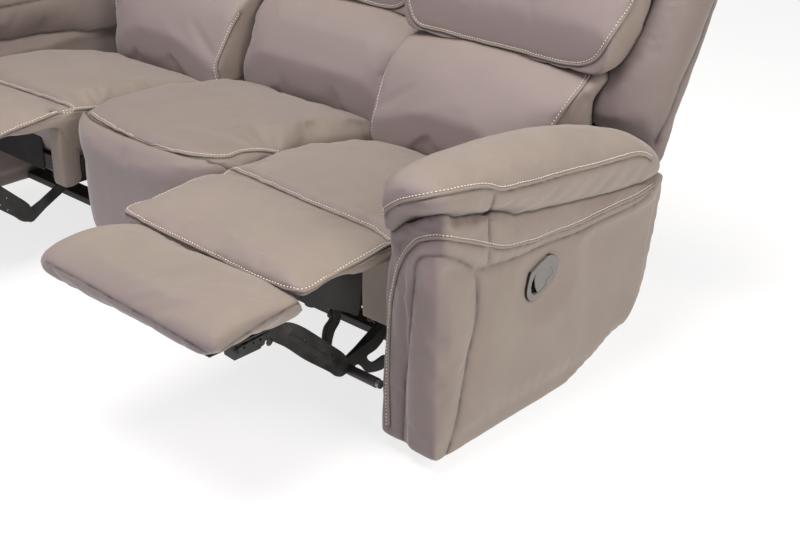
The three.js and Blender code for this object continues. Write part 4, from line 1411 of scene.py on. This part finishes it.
# %% [markdown]
# ## Where the seams run
#
# Each list is a line read off the photograph, as places across and down the picture. A list whose
# name ends in ROW is a row of stitches, and its seam runs nearly ten millimetres beside it. The
# others are the seams themselves. Parts that the photograph can't show are given in millimetres
# and dropped onto the skin.
#
# The arm has a stitched roll over its front panels, and the pillow on top has a stitched edge.

# %% Seams of the right arm
RIGHTWARD, BACKWARD = (1, 0, 0), (0, 1, 0)


def beside_row(piece, row, side=1):
    """The seam of a row of stitches: it lies beside the row, on the other side than the panel's."""
    return laid(tree_of(piece), row, -side * STITCH_ASIDE)


PILLOW_ROW = (
    (379, 216), (384, 208), (392, 203), (400, 199), (420, 195), (440, 191), (460, 187), (475, 184),
    (485, 183), (493, 184), (500, 187), (508, 186), (520, 183), (540, 178), (560, 172), (580, 167),
    (600, 162), (620, 156), (635, 152), (645, 152), (652, 156),
)
ARM_ROW = (
    (386, 424), (385.5, 400), (385, 380), (385, 360), (385.5, 340), (386, 320), (387.5, 300),
    (390, 285), (394, 270), (398, 260), (402, 252), (408, 245), (416, 238), (425, 236), (436, 235),
    (450, 236), (470, 239), (485, 242), (500, 245), (512, 244), (525, 241), (540, 237), (560, 229),
    (580, 221), (600, 211), (620, 202), (640, 193), (655, 183),
)
PANEL_ARCH = (
    (402, 440), (403, 420), (404, 400), (405, 380), (407, 360), (408, 340), (410, 320), (412, 300),
    (414, 280), (414, 270), (416, 262), (422, 257), (432, 256), (444, 257), (456, 260), (468, 266),
    (477, 272),
)
PANEL_LEDGE = (
    (477, 272), (490, 267), (500, 264), (520, 257), (540, 249), (560, 241), (580, 232), (600, 222),
    (620, 213), (640, 203), (650, 195),
)
PANEL_SIDE = (
    (477, 272), (478, 285), (478, 300), (477, 320), (473, 340), (469, 355), (465, 380), (461, 400),
    (457, 420), (452, 440), (447, 455),
)
ARM_TUCK = ((490, 218), (490, 235), (491, 250), (489, 263))
PILLOW_TUCK = ((497, 193), (493, 204), (489, 215))

arm_seams = [
    (beside_row(arm, seen(arm, ARM_ROW)), 1),
    (seen(arm, PANEL_ARCH), 0),
    (seen(arm, PANEL_LEDGE), 0),
    (seen(arm, PANEL_SIDE), 0),
    (seen(arm, ARM_TUCK), 0),
]
pillow_seams = [
    (beside_row(pillow, seen(pillow, PILLOW_ROW)), 1),
    (seen(pillow, PILLOW_TUCK), 0),
    (dropped(pillow, [(900, y, 560) for y in range(30, 740, 60)], RIGHTWARD), 0),
]
print("arm seams", [len(line) for line, _ in arm_seams + pillow_seams])

# %% [markdown]
# The seat has a stitched row across its front and another round the leg pad. Its inner end is hidden
# on the right, so it is read off the left seat and mirrored.

# %% Seams of the right seat and footrest
CROSS_ROW = (
    (210, 158), (218, 160), (240, 169), (260, 177), (280, 186), (300, 195), (320, 204), (340, 212),
    (360, 220), (375, 227), (385, 233), (392, 240),
)
LEG_INNER_ROW = (
    (104, 106), (95, 106), (75, 107.5), (59, 110), (37.5, 119), (19, 126), (0, 135),
)
LEG_ROW = (
    (124, 206), (130, 212), (140, 218), (150, 223), (170, 233), (190, 243), (210, 253), (230, 263),
    (250, 273), (265, 280), (280, 286), (290, 289), (300, 290), (308, 289), (315, 285), (325, 278),
    (340, 269), (355, 260), (370, 252), (380, 246), (392, 241),
)
FOOTREST_FRONT = ((45, 262), (80, 281), (120, 304), (160, 327), (190, 344), (213, 357))
FOOTREST_SIDE = ((300, 302), (281, 314), (262, 325), (238, 341), (213, 357))

seat_seams = [
    (beside_row(seat, seen(seat, CROSS_ROW)), 1),
    (beside_row(seat, joined(seen(seat, LEG_INNER_ROW, -1), seen(seat, LEG_ROW))), 1),
]
footrest_seams = [
    (seen(footrest, FOOTREST_FRONT), 0),
    (seen(footrest, FOOTREST_SIDE), 0),
]
print("seat seams", [len(line) for line, _ in seat_seams + footrest_seams])

# %% [markdown]
# A row runs round the whole face of the head cushion. Only its lower half is in the photograph, and
# the upper half is guessed from it. The lumbar cushion has a row up each side.

# %% Seams of the right back
LUMBAR_INNER_ROW = (
    (239.5, 14), (232.5, 25), (226, 37.5), (220, 50), (215.5, 60), (213.8, 67.5), (215, 74), (217, 80),
)
LUMBAR_RIGHT_ROW = ((587, 73), (580, 85), (572, 96), (564, 108), (556, 120), (546, 133))
HEAD_ROW = (
    (408, 0), (409, 10), (412, 20), (420, 26), (440, 31), (460, 37), (480, 42), (500, 47), (520, 52),
    (540, 58), (556, 62), (570, 64), (580, 63), (590, 59), (600, 48), (612, 32), (622, 18), (634, 0),
)
WING_OUTER = (
    (715, 0), (706, 25), (700, 42), (690, 65), (681, 85), (676, 100), (668, 120), (662, 130), (655, 142),
)

lumbar_seams = [
    (beside_row(lumbar, seen(lumbar, LUMBAR_INNER_ROW, -1), 1), 1),
    (beside_row(lumbar, seen(lumbar, LUMBAR_RIGHT_ROW), -1), -1),
]
head_rows = joined(
    dropped(head, [(310, 500, z) for z in (940, 900, 860, 826)], BACKWARD),
    seen(head, HEAD_ROW),
    dropped(head, [(918, 500, z) for z in (826, 860, 900, 940)], BACKWARD),
    dropped(head, [(x, 500, 952) for x in (905, 800, 614, 430, 325)], BACKWARD),
)
head_seams = [(beside_row(head, head_rows), 1)]
wing_seams = [(seen(wing, WING_OUTER), 0)]
print("back seams", [len(line) for line, _ in lumbar_seams + head_seams + wing_seams])

# %% [markdown]
# The middle head cushion is the same as the others but narrower, so its row is the right one's,
# brought to the middle. It sits further back, by the seats' travel.

# %% Seams of the middle
HEAD_MIDDLE_X, MIDDLE_WIDTH = 614, 0.87
MIDDLE_ROW = (
    (92, 112), (100, 118), (120, 130), (140, 140), (160, 147), (180, 151), (200, 154), (215, 155),
    (228, 154.5), (233, 152), (240, 149.5), (255, 148), (270, 148.5), (280, 151),
)
middle_seat_seams = [(beside_row(middle_seat, seen(middle_seat, MIDDLE_ROW)), 1)]
middle_rows = head_rows / MM
middle_rows[:, 0] = (middle_rows[:, 0] - HEAD_MIDDLE_X) * MIDDLE_WIDTH
middle_rows[:, 1] += SLIDE_TRAVEL
middle_head_seams = [(beside_row(middle_head, middle_rows * MM), 1)]
print("middle seams", [len(line) for line, _ in middle_seat_seams])

# %% [markdown]
# ## One run of cloth for all
#
# Each piece has its seams, the most that a point may move, and its room. A piece without seams is
# still held at the floor.


# %% Swell everything at once
def arm_cap(points):
    """The arm's rolls may swell more than its flat side below them."""
    return 2.5 + 15 * ease(points[:, 2], 400, 470) + 8 * (1 - ease(points[:, 1], 60, 150))


everything = {
    arm: (arm_seams, arm_cap, room(["arm_body_right", "arm_front_panel_right"], 11, 14, 12)),
    pillow: (pillow_seams, 22, room(["arm_pillow_right"], 9, 8, 104)),
    seat: (seat_seams, 9, room(["seat_cushion_right", "leg_pad_right"], 3, 4, 10)),
    footrest: (footrest_seams, 16, room(["footrest_pad_right"], 3, 6, 6)),
    lumbar: (lumbar_seams, 24, room(["lumbar_cushion_right"], 3, 14, 6)),
    head: (head_seams, 24, room(["head_cushion_right"], 3, 14, 22)),
    wing: (wing_seams, 20, room(["back_wing_right"], 44, 10, 4)),
    rear: ([], 12, room(["rear_cover_right"], 3, 8, 3)),
    middle_seat: (middle_seat_seams, 22, room(["centre_cushion"], 3, 8, 10)),
    middle_front: ([], 16, room(["centre_front_panel", "centre_cushion"], 3, 8, 0)),
    middle_lumbar: ([], 24, room(["centre_lumbar"], 3, 14, 6)),
    middle_head: (middle_head_seams, 24, room(["centre_head"], 3, 14, 22)),
    middle_rear: ([], 12, room(["centre_rear_cover"], 3, 8, 3)),
}
swell({
    piece: ([line for line, _ in seams], cap, space)
    for piece, (seams, cap, space) in everything.items()
})
for piece in everything:
    finer = piece.modifiers.new("finer", "SUBSURF")
    finer.levels = finer.render_levels = 1
    settle(piece)
print("made finer:", sum(len(piece.data.polygons) for piece in everything), "squares in all")

# %% [markdown]
# ## Where the cover looks darker
#
# These rules paint shade into the cover. Each gives a share of painted shade from 0 to 1 for every
# point, from where it is and which way it faces.


# %% Shades
def top_shade(points, normals):
    """Painted shade on a seat's top, darker where it faces up."""
    return 0.2 * np.clip(normals[:, 2], 0, 1) * ease(points[:, 1], 20, 80)


def middle_top_shade(points, normals):
    """The middle seat's top, darker still."""
    return 0.36 * np.clip(normals[:, 2], 0, 1)


def inner_shade(points, normals):
    """The arm's side towards the seat."""
    return 0.75 * np.clip((-normals[:, 0] - 0.1) / 0.6, 0, 1)


def front_shade(points, normals):
    """The arm's front panels below its rolls, and its inner side."""
    forward = np.clip((-normals[:, 1] - 0.2) / 0.7, 0, 1)
    front = 0.6 * forward * (1 - ease(points[:, 1], 40, 120)) * (1 - ease(points[:, 2], 380, 460))
    return np.maximum(front, inner_shade(points, normals))


def panel_shade(points, normals):
    """The middle front panel, a little darker all over."""
    return np.full(len(points), 0.2)


def even_shade(points, normals):
    """The wing, in the shadow of the backs."""
    return np.full(len(points), 0.55)


# each piece's painted shade rule
shades = {
    arm: front_shade, pillow: inner_shade, wing: even_shade,
    seat: top_shade, middle_seat: middle_top_shade, middle_front: panel_shade,
}
print("pieces with a shade of their own:", len(shades))

# %% [markdown]
# ## Sew all pieces
#
# The release cup's rim presses the arm's cover in around it. Then every piece is made uneven, sewn
# and given its painted reflection and shade, and a dark line of painted shade is laid where the
# cushions of one body press together.

# %% Sew everything
CUP_Y, CUP_Z, CUP_HALF_LENGTH, CUP_HALF_HEIGHT, CUP_FACE = 311, 334, 62, 54, 1041.0
MEETINGS = (
    (arm, pillow), (head, lumbar, wing), (middle_head, middle_lumbar), (middle_seat, middle_front),
)


def press_round_cup(points):
    """The release cup's rim presses the cover in around it."""
    far = np.hypot((points[:, 1] - CUP_Y) / CUP_HALF_LENGTH, (points[:, 2] - CUP_Z) / CUP_HALF_HEIGHT)
    share = (1 - ease(far, 0.9, 2.1)) * (points[:, 0] > 1000)
    points[:, 0] -= np.maximum(points[:, 0] - CUP_FACE, 0) * share


trims = {}
for number, (piece, (seams, _, _)) in enumerate(everything.items()):
    if piece is arm:
        reshape(piece, press_round_cup)
    ruffle(piece, 1.2, 120, 31 + number)
    ruffle(piece, 0.5, 34, 67 + number)
    trims[piece] = sew(piece, seams, seed=5 + number) if seams else []
    # painted reflection and painted shade stored on every cover piece
    if piece.data.materials[0] == cover:
        paint_front_light_and_shade(piece, shades.get(piece))
    for face in piece.data.polygons:
        face.use_smooth = True
# a painted shade line where the cushions of one body meet
for meeting in MEETINGS:
    paint_meeting_shade(meeting)
print("sewn", sum(len(trim) for trim in trims.values()), "trims")

# %% [markdown]
# ## Steel and the release handle
#
# The mechanism's flat parts lie in planes across the sofa, and so does the handle on the arm's side.
# Their outlines are read off the photograph and laid into those planes by the same rays as the
# seams. A flat curve with a small bevel turns an outline into a stamped plate, holes included.

# %% Plates from outlines
def in_plane(picture_places, x):
    """Places in the picture laid into the plane at x millimetres, as (y, z) in metres."""
    found = []
    for across, down in picture_places:
        way = sight(across, down)
        reach = (x * MM - camera_place.x) / way.x
        point = camera_place + way * reach
        found.append((point.y, point.z))
    return found


def smooth_loop(loop, steps=5):
    """A closed smooth outline through the given points."""
    loop = np.asarray(loop, float)
    rows = []
    for k in range(len(loop)):
        a, b, c, d = (loop[(k + j) % len(loop)] for j in (-1, 0, 1, 2))
        for t in np.linspace(0, 1, steps, endpoint=False):
            rows.append(0.5 * (2 * b + (c - a) * t + (2 * a - 5 * b + 4 * c - d) * t * t
                               + (3 * b - a - 3 * c + d) * t ** 3))
    return np.array(rows)


def ring(y, z, radius, count=16):
    """A round hole's outline, in metres."""
    turns = np.linspace(0, 2 * math.pi, count, endpoint=False)
    return [(y + radius * MM * math.cos(turn), z + radius * MM * math.sin(turn)) for turn in turns]


def stamped(name, loops, x, thickness, bevel, material):
    """A plate from x to x + thickness millimetres: its outline's loop, then those of its holes."""
    curve = bpy.data.curves.new(name, "CURVE")
    curve.dimensions = "2D"
    curve.fill_mode = "BOTH"
    curve.extrude = (thickness / 2 - bevel) * MM
    curve.bevel_depth = bevel * MM
    curve.bevel_resolution = 2
    for loop in loops:
        spline = curve.splines.new("POLY")
        spline.points.add(len(loop) - 1)
        for point, (y, z) in zip(spline.points, loop):
            point.co = (y, z, 0, 1)
        spline.use_cyclic_u = True
    shape = bpy.data.objects.new(name, curve)
    bpy.context.scene.collection.objects.link(shape)
    bpy.context.view_layer.update()
    mesh = bpy.data.meshes.new_from_object(shape.evaluated_get(bpy.context.evaluated_depsgraph_get()))
    bpy.data.objects.remove(shape)
    bpy.data.curves.remove(curve)
    turn = Matrix(((0, 0, 1, (x + thickness / 2) * MM), (1, 0, 0, 0), (0, 1, 0, 0), (0, 0, 0, 1)))
    mesh.transform(turn)
    piece = new_object(name, mesh, material)
    for face in mesh.polygons:
        face.use_smooth = False
    return piece


print("plate tools ready")

# %% [markdown]
# ## The release handle
#
# The handle sits in an egg-shaped surround on the arm's outer side. Four flat pieces make it: a black
# ring a little larger than the surround, which is a painted shadow round its rim, the surround with
# its opening, a floor behind, the lever.

# %% The release handle
HANDLE_X = 1039.0
EGG = (
    (552.5, 255.3), (555.6, 256.9), (558, 261), (558, 266), (556, 273), (552.5, 281), (546, 288.8),
    (540, 295), (535, 300), (530.6, 300.6), (527.8, 296.9), (527.5, 291), (528.8, 283.8), (531, 275),
    (534.4, 270.6), (540, 264.4), (546, 258.8), (549, 256),
)
RECESS = (
    (543.8, 267.0), (545.8, 270.3), (551.5, 265.0), (553.0, 272.8), (546.3, 280.2), (546.3, 284),
    (543.6, 288), (538.4, 293.2), (533.8, 295.6), (531, 293.8), (530.3, 288.8), (531.6, 282.5),
    (534.4, 275.6), (538.8, 271),
)
LEVER = (
    (543.7, 268.2), (545.9, 271.4), (551.1, 266.6), (552.2, 272.5), (545.4, 280), (545.4, 283.4),
    (543, 287.2), (537.6, 292), (535.6, 287), (535, 280), (536.3, 275), (540, 271),
)
HANDLE_FACE = HANDLE_X + 8
egg_loop = smooth_loop(in_plane(EGG, HANDLE_FACE))
recess_loop = in_plane(RECESS, HANDLE_FACE)
surround = stamped("handle_surround_right", [egg_loop, recess_loop], HANDLE_X, 9.0, 1.6, cup_grey)
middle_of_egg = egg_loop.mean(axis=0)
floor_loop = middle_of_egg + (egg_loop - middle_of_egg) * 0.93
# painted shadow: a black ring that shows just outside the surround's rim
shadow_loop = middle_of_egg + (egg_loop - middle_of_egg) * 1.03
shadow_ring = stamped(
    "handle_gasket_right", [shadow_loop, recess_loop], HANDLE_X - 1, 9.2, 0.5, black_plastic)
recess_floor = stamped("handle_recess_right", [floor_loop], HANDLE_X - 3, 2.0, 0.2, black_plastic)
lever_loop = in_plane(LEVER, HANDLE_FACE)
lever = stamped("handle_lever_right", [lever_loop], HANDLE_X + 5.3, 3.0, 1.0, cup_grey)
print("handle", [round(float(v), 3) for v in middle_of_egg])

# %% [markdown]
# ## The linkage
#
# Each plate is an outline in the plane it lies in, some with holes. The wide link has a twin on the
# seat's inner side and a pressed rib, and a rod joins the two. A flap of lining hides the frame.

# %% Links and the hole bar
PLATE_X = 783.5
LOW_PIVOT, REST_PIVOT, FOLD_PIVOT = (-5.0, 147.0), (-238.0, 304.0), (141.0, 220.0)
WIDE_LINK = (
    (267, 338), (270, 331), (279, 325.5), (290, 323), (302.5, 327), (317.5, 336), (331, 345),
    (344, 354), (348, 361), (349, 369), (343, 376), (336, 376), (329, 371.5), (306, 360),
    (287.5, 348), (277, 343),
)
WIDE_LINK_HOLES = ((305.3, 340.4), (324, 351), (317, 360), (324, 365))
RIB = ((293, 336.5), (295, 336), (333, 361), (332, 364), (330, 364), (293, 339))
BENT_LINK = (
    (329.4, 306), (331, 317.5), (325, 327.5), (323, 338), (324.5, 347), (330.5, 349), (332.5, 340),
    (335, 331), (340.5, 320), (340, 306),
)
BENT_RIB = (
    (333.5, 308), (334.5, 318), (329, 328), (327, 338), (327.5, 344), (329, 344), (329.5, 338),
    (331.5, 329), (337, 319), (336.5, 308),
)
HOLE_BAR = ((238, 349), (240, 347.5), (262, 335.5), (270, 331), (270, 338), (241, 352.5), (238.5, 352))
BAR_HOLES = ((244, 347.4), (253, 343), (260.3, 339.4))
LATCH = (
    (345, 361), (356, 350), (372, 338), (384, 322), (384, 336), (376, 348), (366, 356), (372, 362),
    (384, 355), (384, 367), (368, 372), (361, 366), (356, 364), (349, 370),
)
LINING_X = 840
LINING_EDGE = (
    (305, 303), (309, 307), (316, 307.5), (327, 308), (340, 310.5), (350, 313), (357, 315.5),
)


def plate(name, outline, x, thickness, bevel, seen_at, steps=5, holes=(), radius=0.0):
    """A black plate from x on, whose outline and holes were read in the plane at seen_at."""
    loops = [smooth_loop(in_plane(outline, seen_at), steps)]
    loops += [ring(y, z, radius) for y, z in in_plane(holes, seen_at)]
    return stamped(name, loops, x, thickness, bevel, black_paint)


def rod(name, places, radius, material):
    """A round bar through places in millimetres."""
    line = np.array([place(*point) for point in places])
    return grown(name, [line], welts_on_lines, {"Radius": radius * MM, "Cover": material}, material)


link_plate = plate(
    "wide_link_right", WIDE_LINK, PLATE_X + 4.2, 3.6, 0.7, PLATE_X + 8, 5, WIDE_LINK_HOLES, 2.6)
inner_plate = plate(
    "inner_wide_link_right", WIDE_LINK, 2 * SEAT_PITCH - PLATE_X - 7.8, 3.6, 0.7, PLATE_X + 8, 5,
    WIDE_LINK_HOLES, 2.6)
rest_ends = (2 * SEAT_PITCH - PLATE_X - 6, SEAT_PITCH, PLATE_X + 6)
rest_rod = rod("rest_rod_right", [(x, *REST_PIVOT) for x in rest_ends], 7, black_paint)
lower_edge = in_plane(LINING_EDGE, LINING_X)
upper_edge = [tuple(place(LINING_X, y, z))[1:] for y, z in ((-24, 320), (-24, 418), (-172, 418))]
flap_loop = smooth_loop([*lower_edge, *upper_edge], 4)
flap = stamped("seat_side_lining_right", [flap_loop], LINING_X - 2, 2.5, 0.5, lining)
link_rib = plate("wide_link_rib_right", RIB, PLATE_X + 6.6, 3.2, 1.2, PLATE_X + 9)
bent_link = plate("bent_link_right", BENT_LINK, 768, 4.0, 0.8, 772)
bent_rib = plate("bent_link_rib_right", BENT_RIB, 771, 3.4, 1.5, 774)
hole_bar = plate("hole_bar_right", HOLE_BAR, PLATE_X + 4, 3.0, 0.5, PLATE_X + 6, 3, BAR_HOLES, 3.2)
latch = plate("latch_plate_right", LATCH, PLATE_X - 1, 4.0, 0.8, PLATE_X, 4)
print("plates", [plate_name.name for plate_name in (link_plate, inner_plate, bent_link, hole_bar, latch)])

# %% [markdown]
# ## Studs and the cross tube
#
# The plates are held by round-headed studs. One ball repeated at points, and scaled to a flat head,
# gives them all. The zinc tube across the mechanism is the welt's tree with another radius.

# %% Studs and tube
def studs_tree():
    tree, start, end = tree_with_inputs("studs at points", [
        ("Size", "NodeSocketVector"), ("Steel", "NodeSocketMaterial")])
    dots = add_node(tree, "GeometryNodeMeshToPoints")
    repeat = add_node(tree, "GeometryNodeInstanceOnPoints")
    for source, target in (
        (start.outputs["Geometry"], dots.inputs["Mesh"]),
        (dots.outputs["Points"], repeat.inputs["Points"]),
        (ball(tree, 14, 8), repeat.inputs["Instance"]),
        (start.outputs["Size"], repeat.inputs["Scale"]),
    ):
        tree.links.new(source, target)
    return end_tree(tree, repeat.outputs["Instances"], start.outputs["Steel"], end)


STUD_HEIGHT, STUD_WIDTH = 5.0, 17.0
studs_at_points = studs_tree()


def studs(name, spots):
    """Round stud heads at (x, y, z) in millimetres."""
    size = (STUD_HEIGHT * MM, STUD_WIDTH * MM, STUD_WIDTH * MM)
    values = {"Size": size, "Steel": black_paint}
    return grown(name, [[place(*spot)] for spot in spots], studs_at_points, values, black_paint)


link_studs = studs("link_studs_right", (
    (PLATE_X + 8, *LOW_PIVOT), (PLATE_X + 8, -222.0, 300.0), (PLATE_X + 8, -60.0, 196.0)))
seat_studs = studs("seat_studs_right", (
    (788, *FOLD_PIVOT), (772, -40.0, 285.0), (788, 220.0, 238.0), (788, 60.0, 244.0)))
tube = rod("cross_tube_right", [(x, *LOW_PIVOT) for x in (788, 810, 840, 881)], 9.6, zinc)
print("studs and tube:", link_studs.name, seat_studs.name, tube.name)

# %% [markdown]
# ## Who carries what
#
# Each piece names the body that carries it and the solids that it stands for. A piece that stands
# for none, such as a rib or a stud, is thin trim that only the scene has.

# %% Two plans
plan = {
    arm: ("base", ["arm_body", "arm_front_panel"]),
    pillow: ("base", ["arm_pillow"]),
    seat: ("seat", ["seat_cushion", "leg_pad"]),
    footrest: ("footrest", ["footrest_pad"]),
    lumbar: ("back", ["lumbar_cushion"]),
    head: ("back", ["head_cushion"]),
    wing: ("back", ["back_wing"]),
    rear: ("back", ["rear_cover"]),
    fascia: ("seat_frame", ["seat_fascia"]),
    inner_fascia: ("seat_frame", []),
    front_lining: ("seat_frame", ["front_lining"]),
    middle_seat: ("base", ["centre_cushion"]),
    middle_front: ("base", ["centre_front_panel"]),
    middle_lumbar: ("base", ["centre_lumbar"]),
    middle_head: ("base", ["centre_head"]),
    middle_rear: ("base", ["centre_rear_cover"]),
}
hard_plan = {
    surround: ("base", ["handle_cup"], "plastic"),
    recess_floor: ("base", [], "plastic"),
    shadow_ring: ("base", [], "plastic"),
    lever: ("lever", ["flip_lever"], "plastic"),
    link_plate: ("links", ["footrest_links"], "steel"),
    inner_plate: ("links", [], "steel"),
    rest_rod: ("links", [], "steel"),
    link_rib: ("links", [], "steel"),
    link_studs: ("links", [], "steel"),
    bent_link: ("seat_frame", [], "steel"),
    bent_rib: ("seat_frame", [], "steel"),
    seat_studs: ("seat_frame", [], "steel"),
    hole_bar: ("footrest", [], "steel"),
    latch: ("drive", [], "steel"),
    tube: ("drive", [], "bright"),
    flap: ("seat", [], "lining"),
}
print("soft pieces", len(plan), "hard pieces", len(hard_plan))

# %% [markdown]
# ## Mirror and hand over
#
# Every right-hand piece gets a mirrored twin. Then each piece replaces its solids, and its welts and
# stitches go with it. Each piece rides on its body, but those of the seat, its cover and the lining
# flap, are only fixed where they stand.


def twin(piece):
    """The piece's mirror image on the left side."""
    mesh = piece.data.copy()
    mesh.transform(Matrix.Scale(-1, 4, (1, 0, 0)))
    mesh.flip_normals()
    other = bpy.data.objects.new(piece.name.replace("_right", "_left"), mesh)
    bpy.context.scene.collection.objects.link(other)
    return other


def attach(piece, body, side):
    if body == "seat":
        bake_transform(piece)
    elif body == "seat_frame":
        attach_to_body(piece, "seat_" + side)
    elif body == "base":
        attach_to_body(piece, "base")
    else:
        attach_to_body(piece, body + "_" + side)


def hand_over(piece, body, nodes, side, trim):
    attach(piece, body, side)
    if nodes:
        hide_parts(*[node if node in frame["nodes"] else node + "_" + side for node in nodes])
    for extra in trim:
        attach(extra, body, side)


for piece, (body, nodes) in plan.items():
    slot = {lining: "lining", back_cloth: "cover_shade"}.get(piece.data.materials[0], "cover")
    trim = trims.get(piece, [])
    if piece.name.endswith("_right"):
        hand_over(twin(piece), body, nodes, "left", [twin(extra) for extra in trim])
        hand_over(piece, body, nodes, "right", trim)
    else:
        hand_over(piece, body, nodes, "", trim)
for piece, (body, nodes, slot) in hard_plan.items():
    for side, part in (("left", twin(piece)), ("right", piece)):
        attach(part, body, side)
        if nodes:
            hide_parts(*[node + "_" + side for node in nodes])
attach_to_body(middle_frame, "base")
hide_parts("centre_frame")

# %% [markdown]
# ## The floor
#
# The photograph's ground is nearly white, with a faint shadow under the sofa. The floor is flat and
# grey and shines a little by itself, so that it turns out white while the shadow stays.

# %% Floor
FLOOR_REACH = 6.0
FLOOR_GLOW = 0.76
FLOOR_DARK, FLOOR_LIGHT = (0.29, 0.29, 0.29, 1), (0.31, 0.31, 0.31, 1)
corners = [(FLOOR_REACH * x, FLOOR_REACH * y, 0) for x, y in ((-1, -1), (1, -1), (1, 1), (-1, 1))]
floor_mesh = bpy.data.meshes.new("floor")
floor_mesh.from_pydata(corners, [], [(0, 1, 2, 3)])
floor_finish, floor_tree, floor_shader = new_material("floor_white", 0.8)
floor_cloud = stretch(floor_tree, noise(floor_tree, object_place(floor_tree), 1.5, 3), 0.3, 0.7)
colour_by(floor_tree, floor_shader, floor_cloud, FLOOR_DARK, FLOOR_LIGHT)
floor_shader.inputs["Emission Color"].default_value = (1, 1, 1, 1)
floor_shader.inputs["Emission Strength"].default_value = FLOOR_GLOW
floor = new_object("floor", floor_mesh, floor_finish)
print("floor", 2 * FLOOR_REACH, "m wide")

# %% [markdown]
# ## The light
#
# One large soft light hangs above the sofa's front, a weaker one stands on the right, and a faint
# one at the front left lifts the panels that face it. Pale surroundings fill the rest.

# %% Lights
WORLD_TINT = (1, 0.96, 0.985, 1)
WORLD_STRENGTH = 0.23


def area_light(name, spot, aim, size, power, colour):
    data = bpy.data.lights.new(name, "AREA")
    data.energy = power
    data.color = colour
    data.size = size
    lamp = bpy.data.objects.new(name, data)
    bpy.context.scene.collection.objects.link(lamp)
    lamp.location = spot
    lamp.rotation_euler = (aim - spot).to_track_quat("-Z", "Y").to_euler()
    return lamp


middle = place(0, 300, 400)
lights = [
    area_light("top", place(300, -500, 3500), middle, 2.0, 132, (1.0, 0.985, 0.95)),
    area_light("right", place(3600, 200, 1900), middle, 2.0, 74, (1.0, 0.955, 0.92)),
    area_light("front", place(-900, -3400, 1500), middle, 2.4, 13, (1.0, 0.74, 1.10)),
]
world = bpy.data.worlds.new("studio")
world.use_nodes = True
world.node_tree.nodes["Background"].inputs["Color"].default_value = WORLD_TINT
world.node_tree.nodes["Background"].inputs["Strength"].default_value = WORLD_STRENGTH
bpy.context.scene.world = world
bpy.context.scene.view_settings.view_transform = "Standard"
print("lights", len(lights))
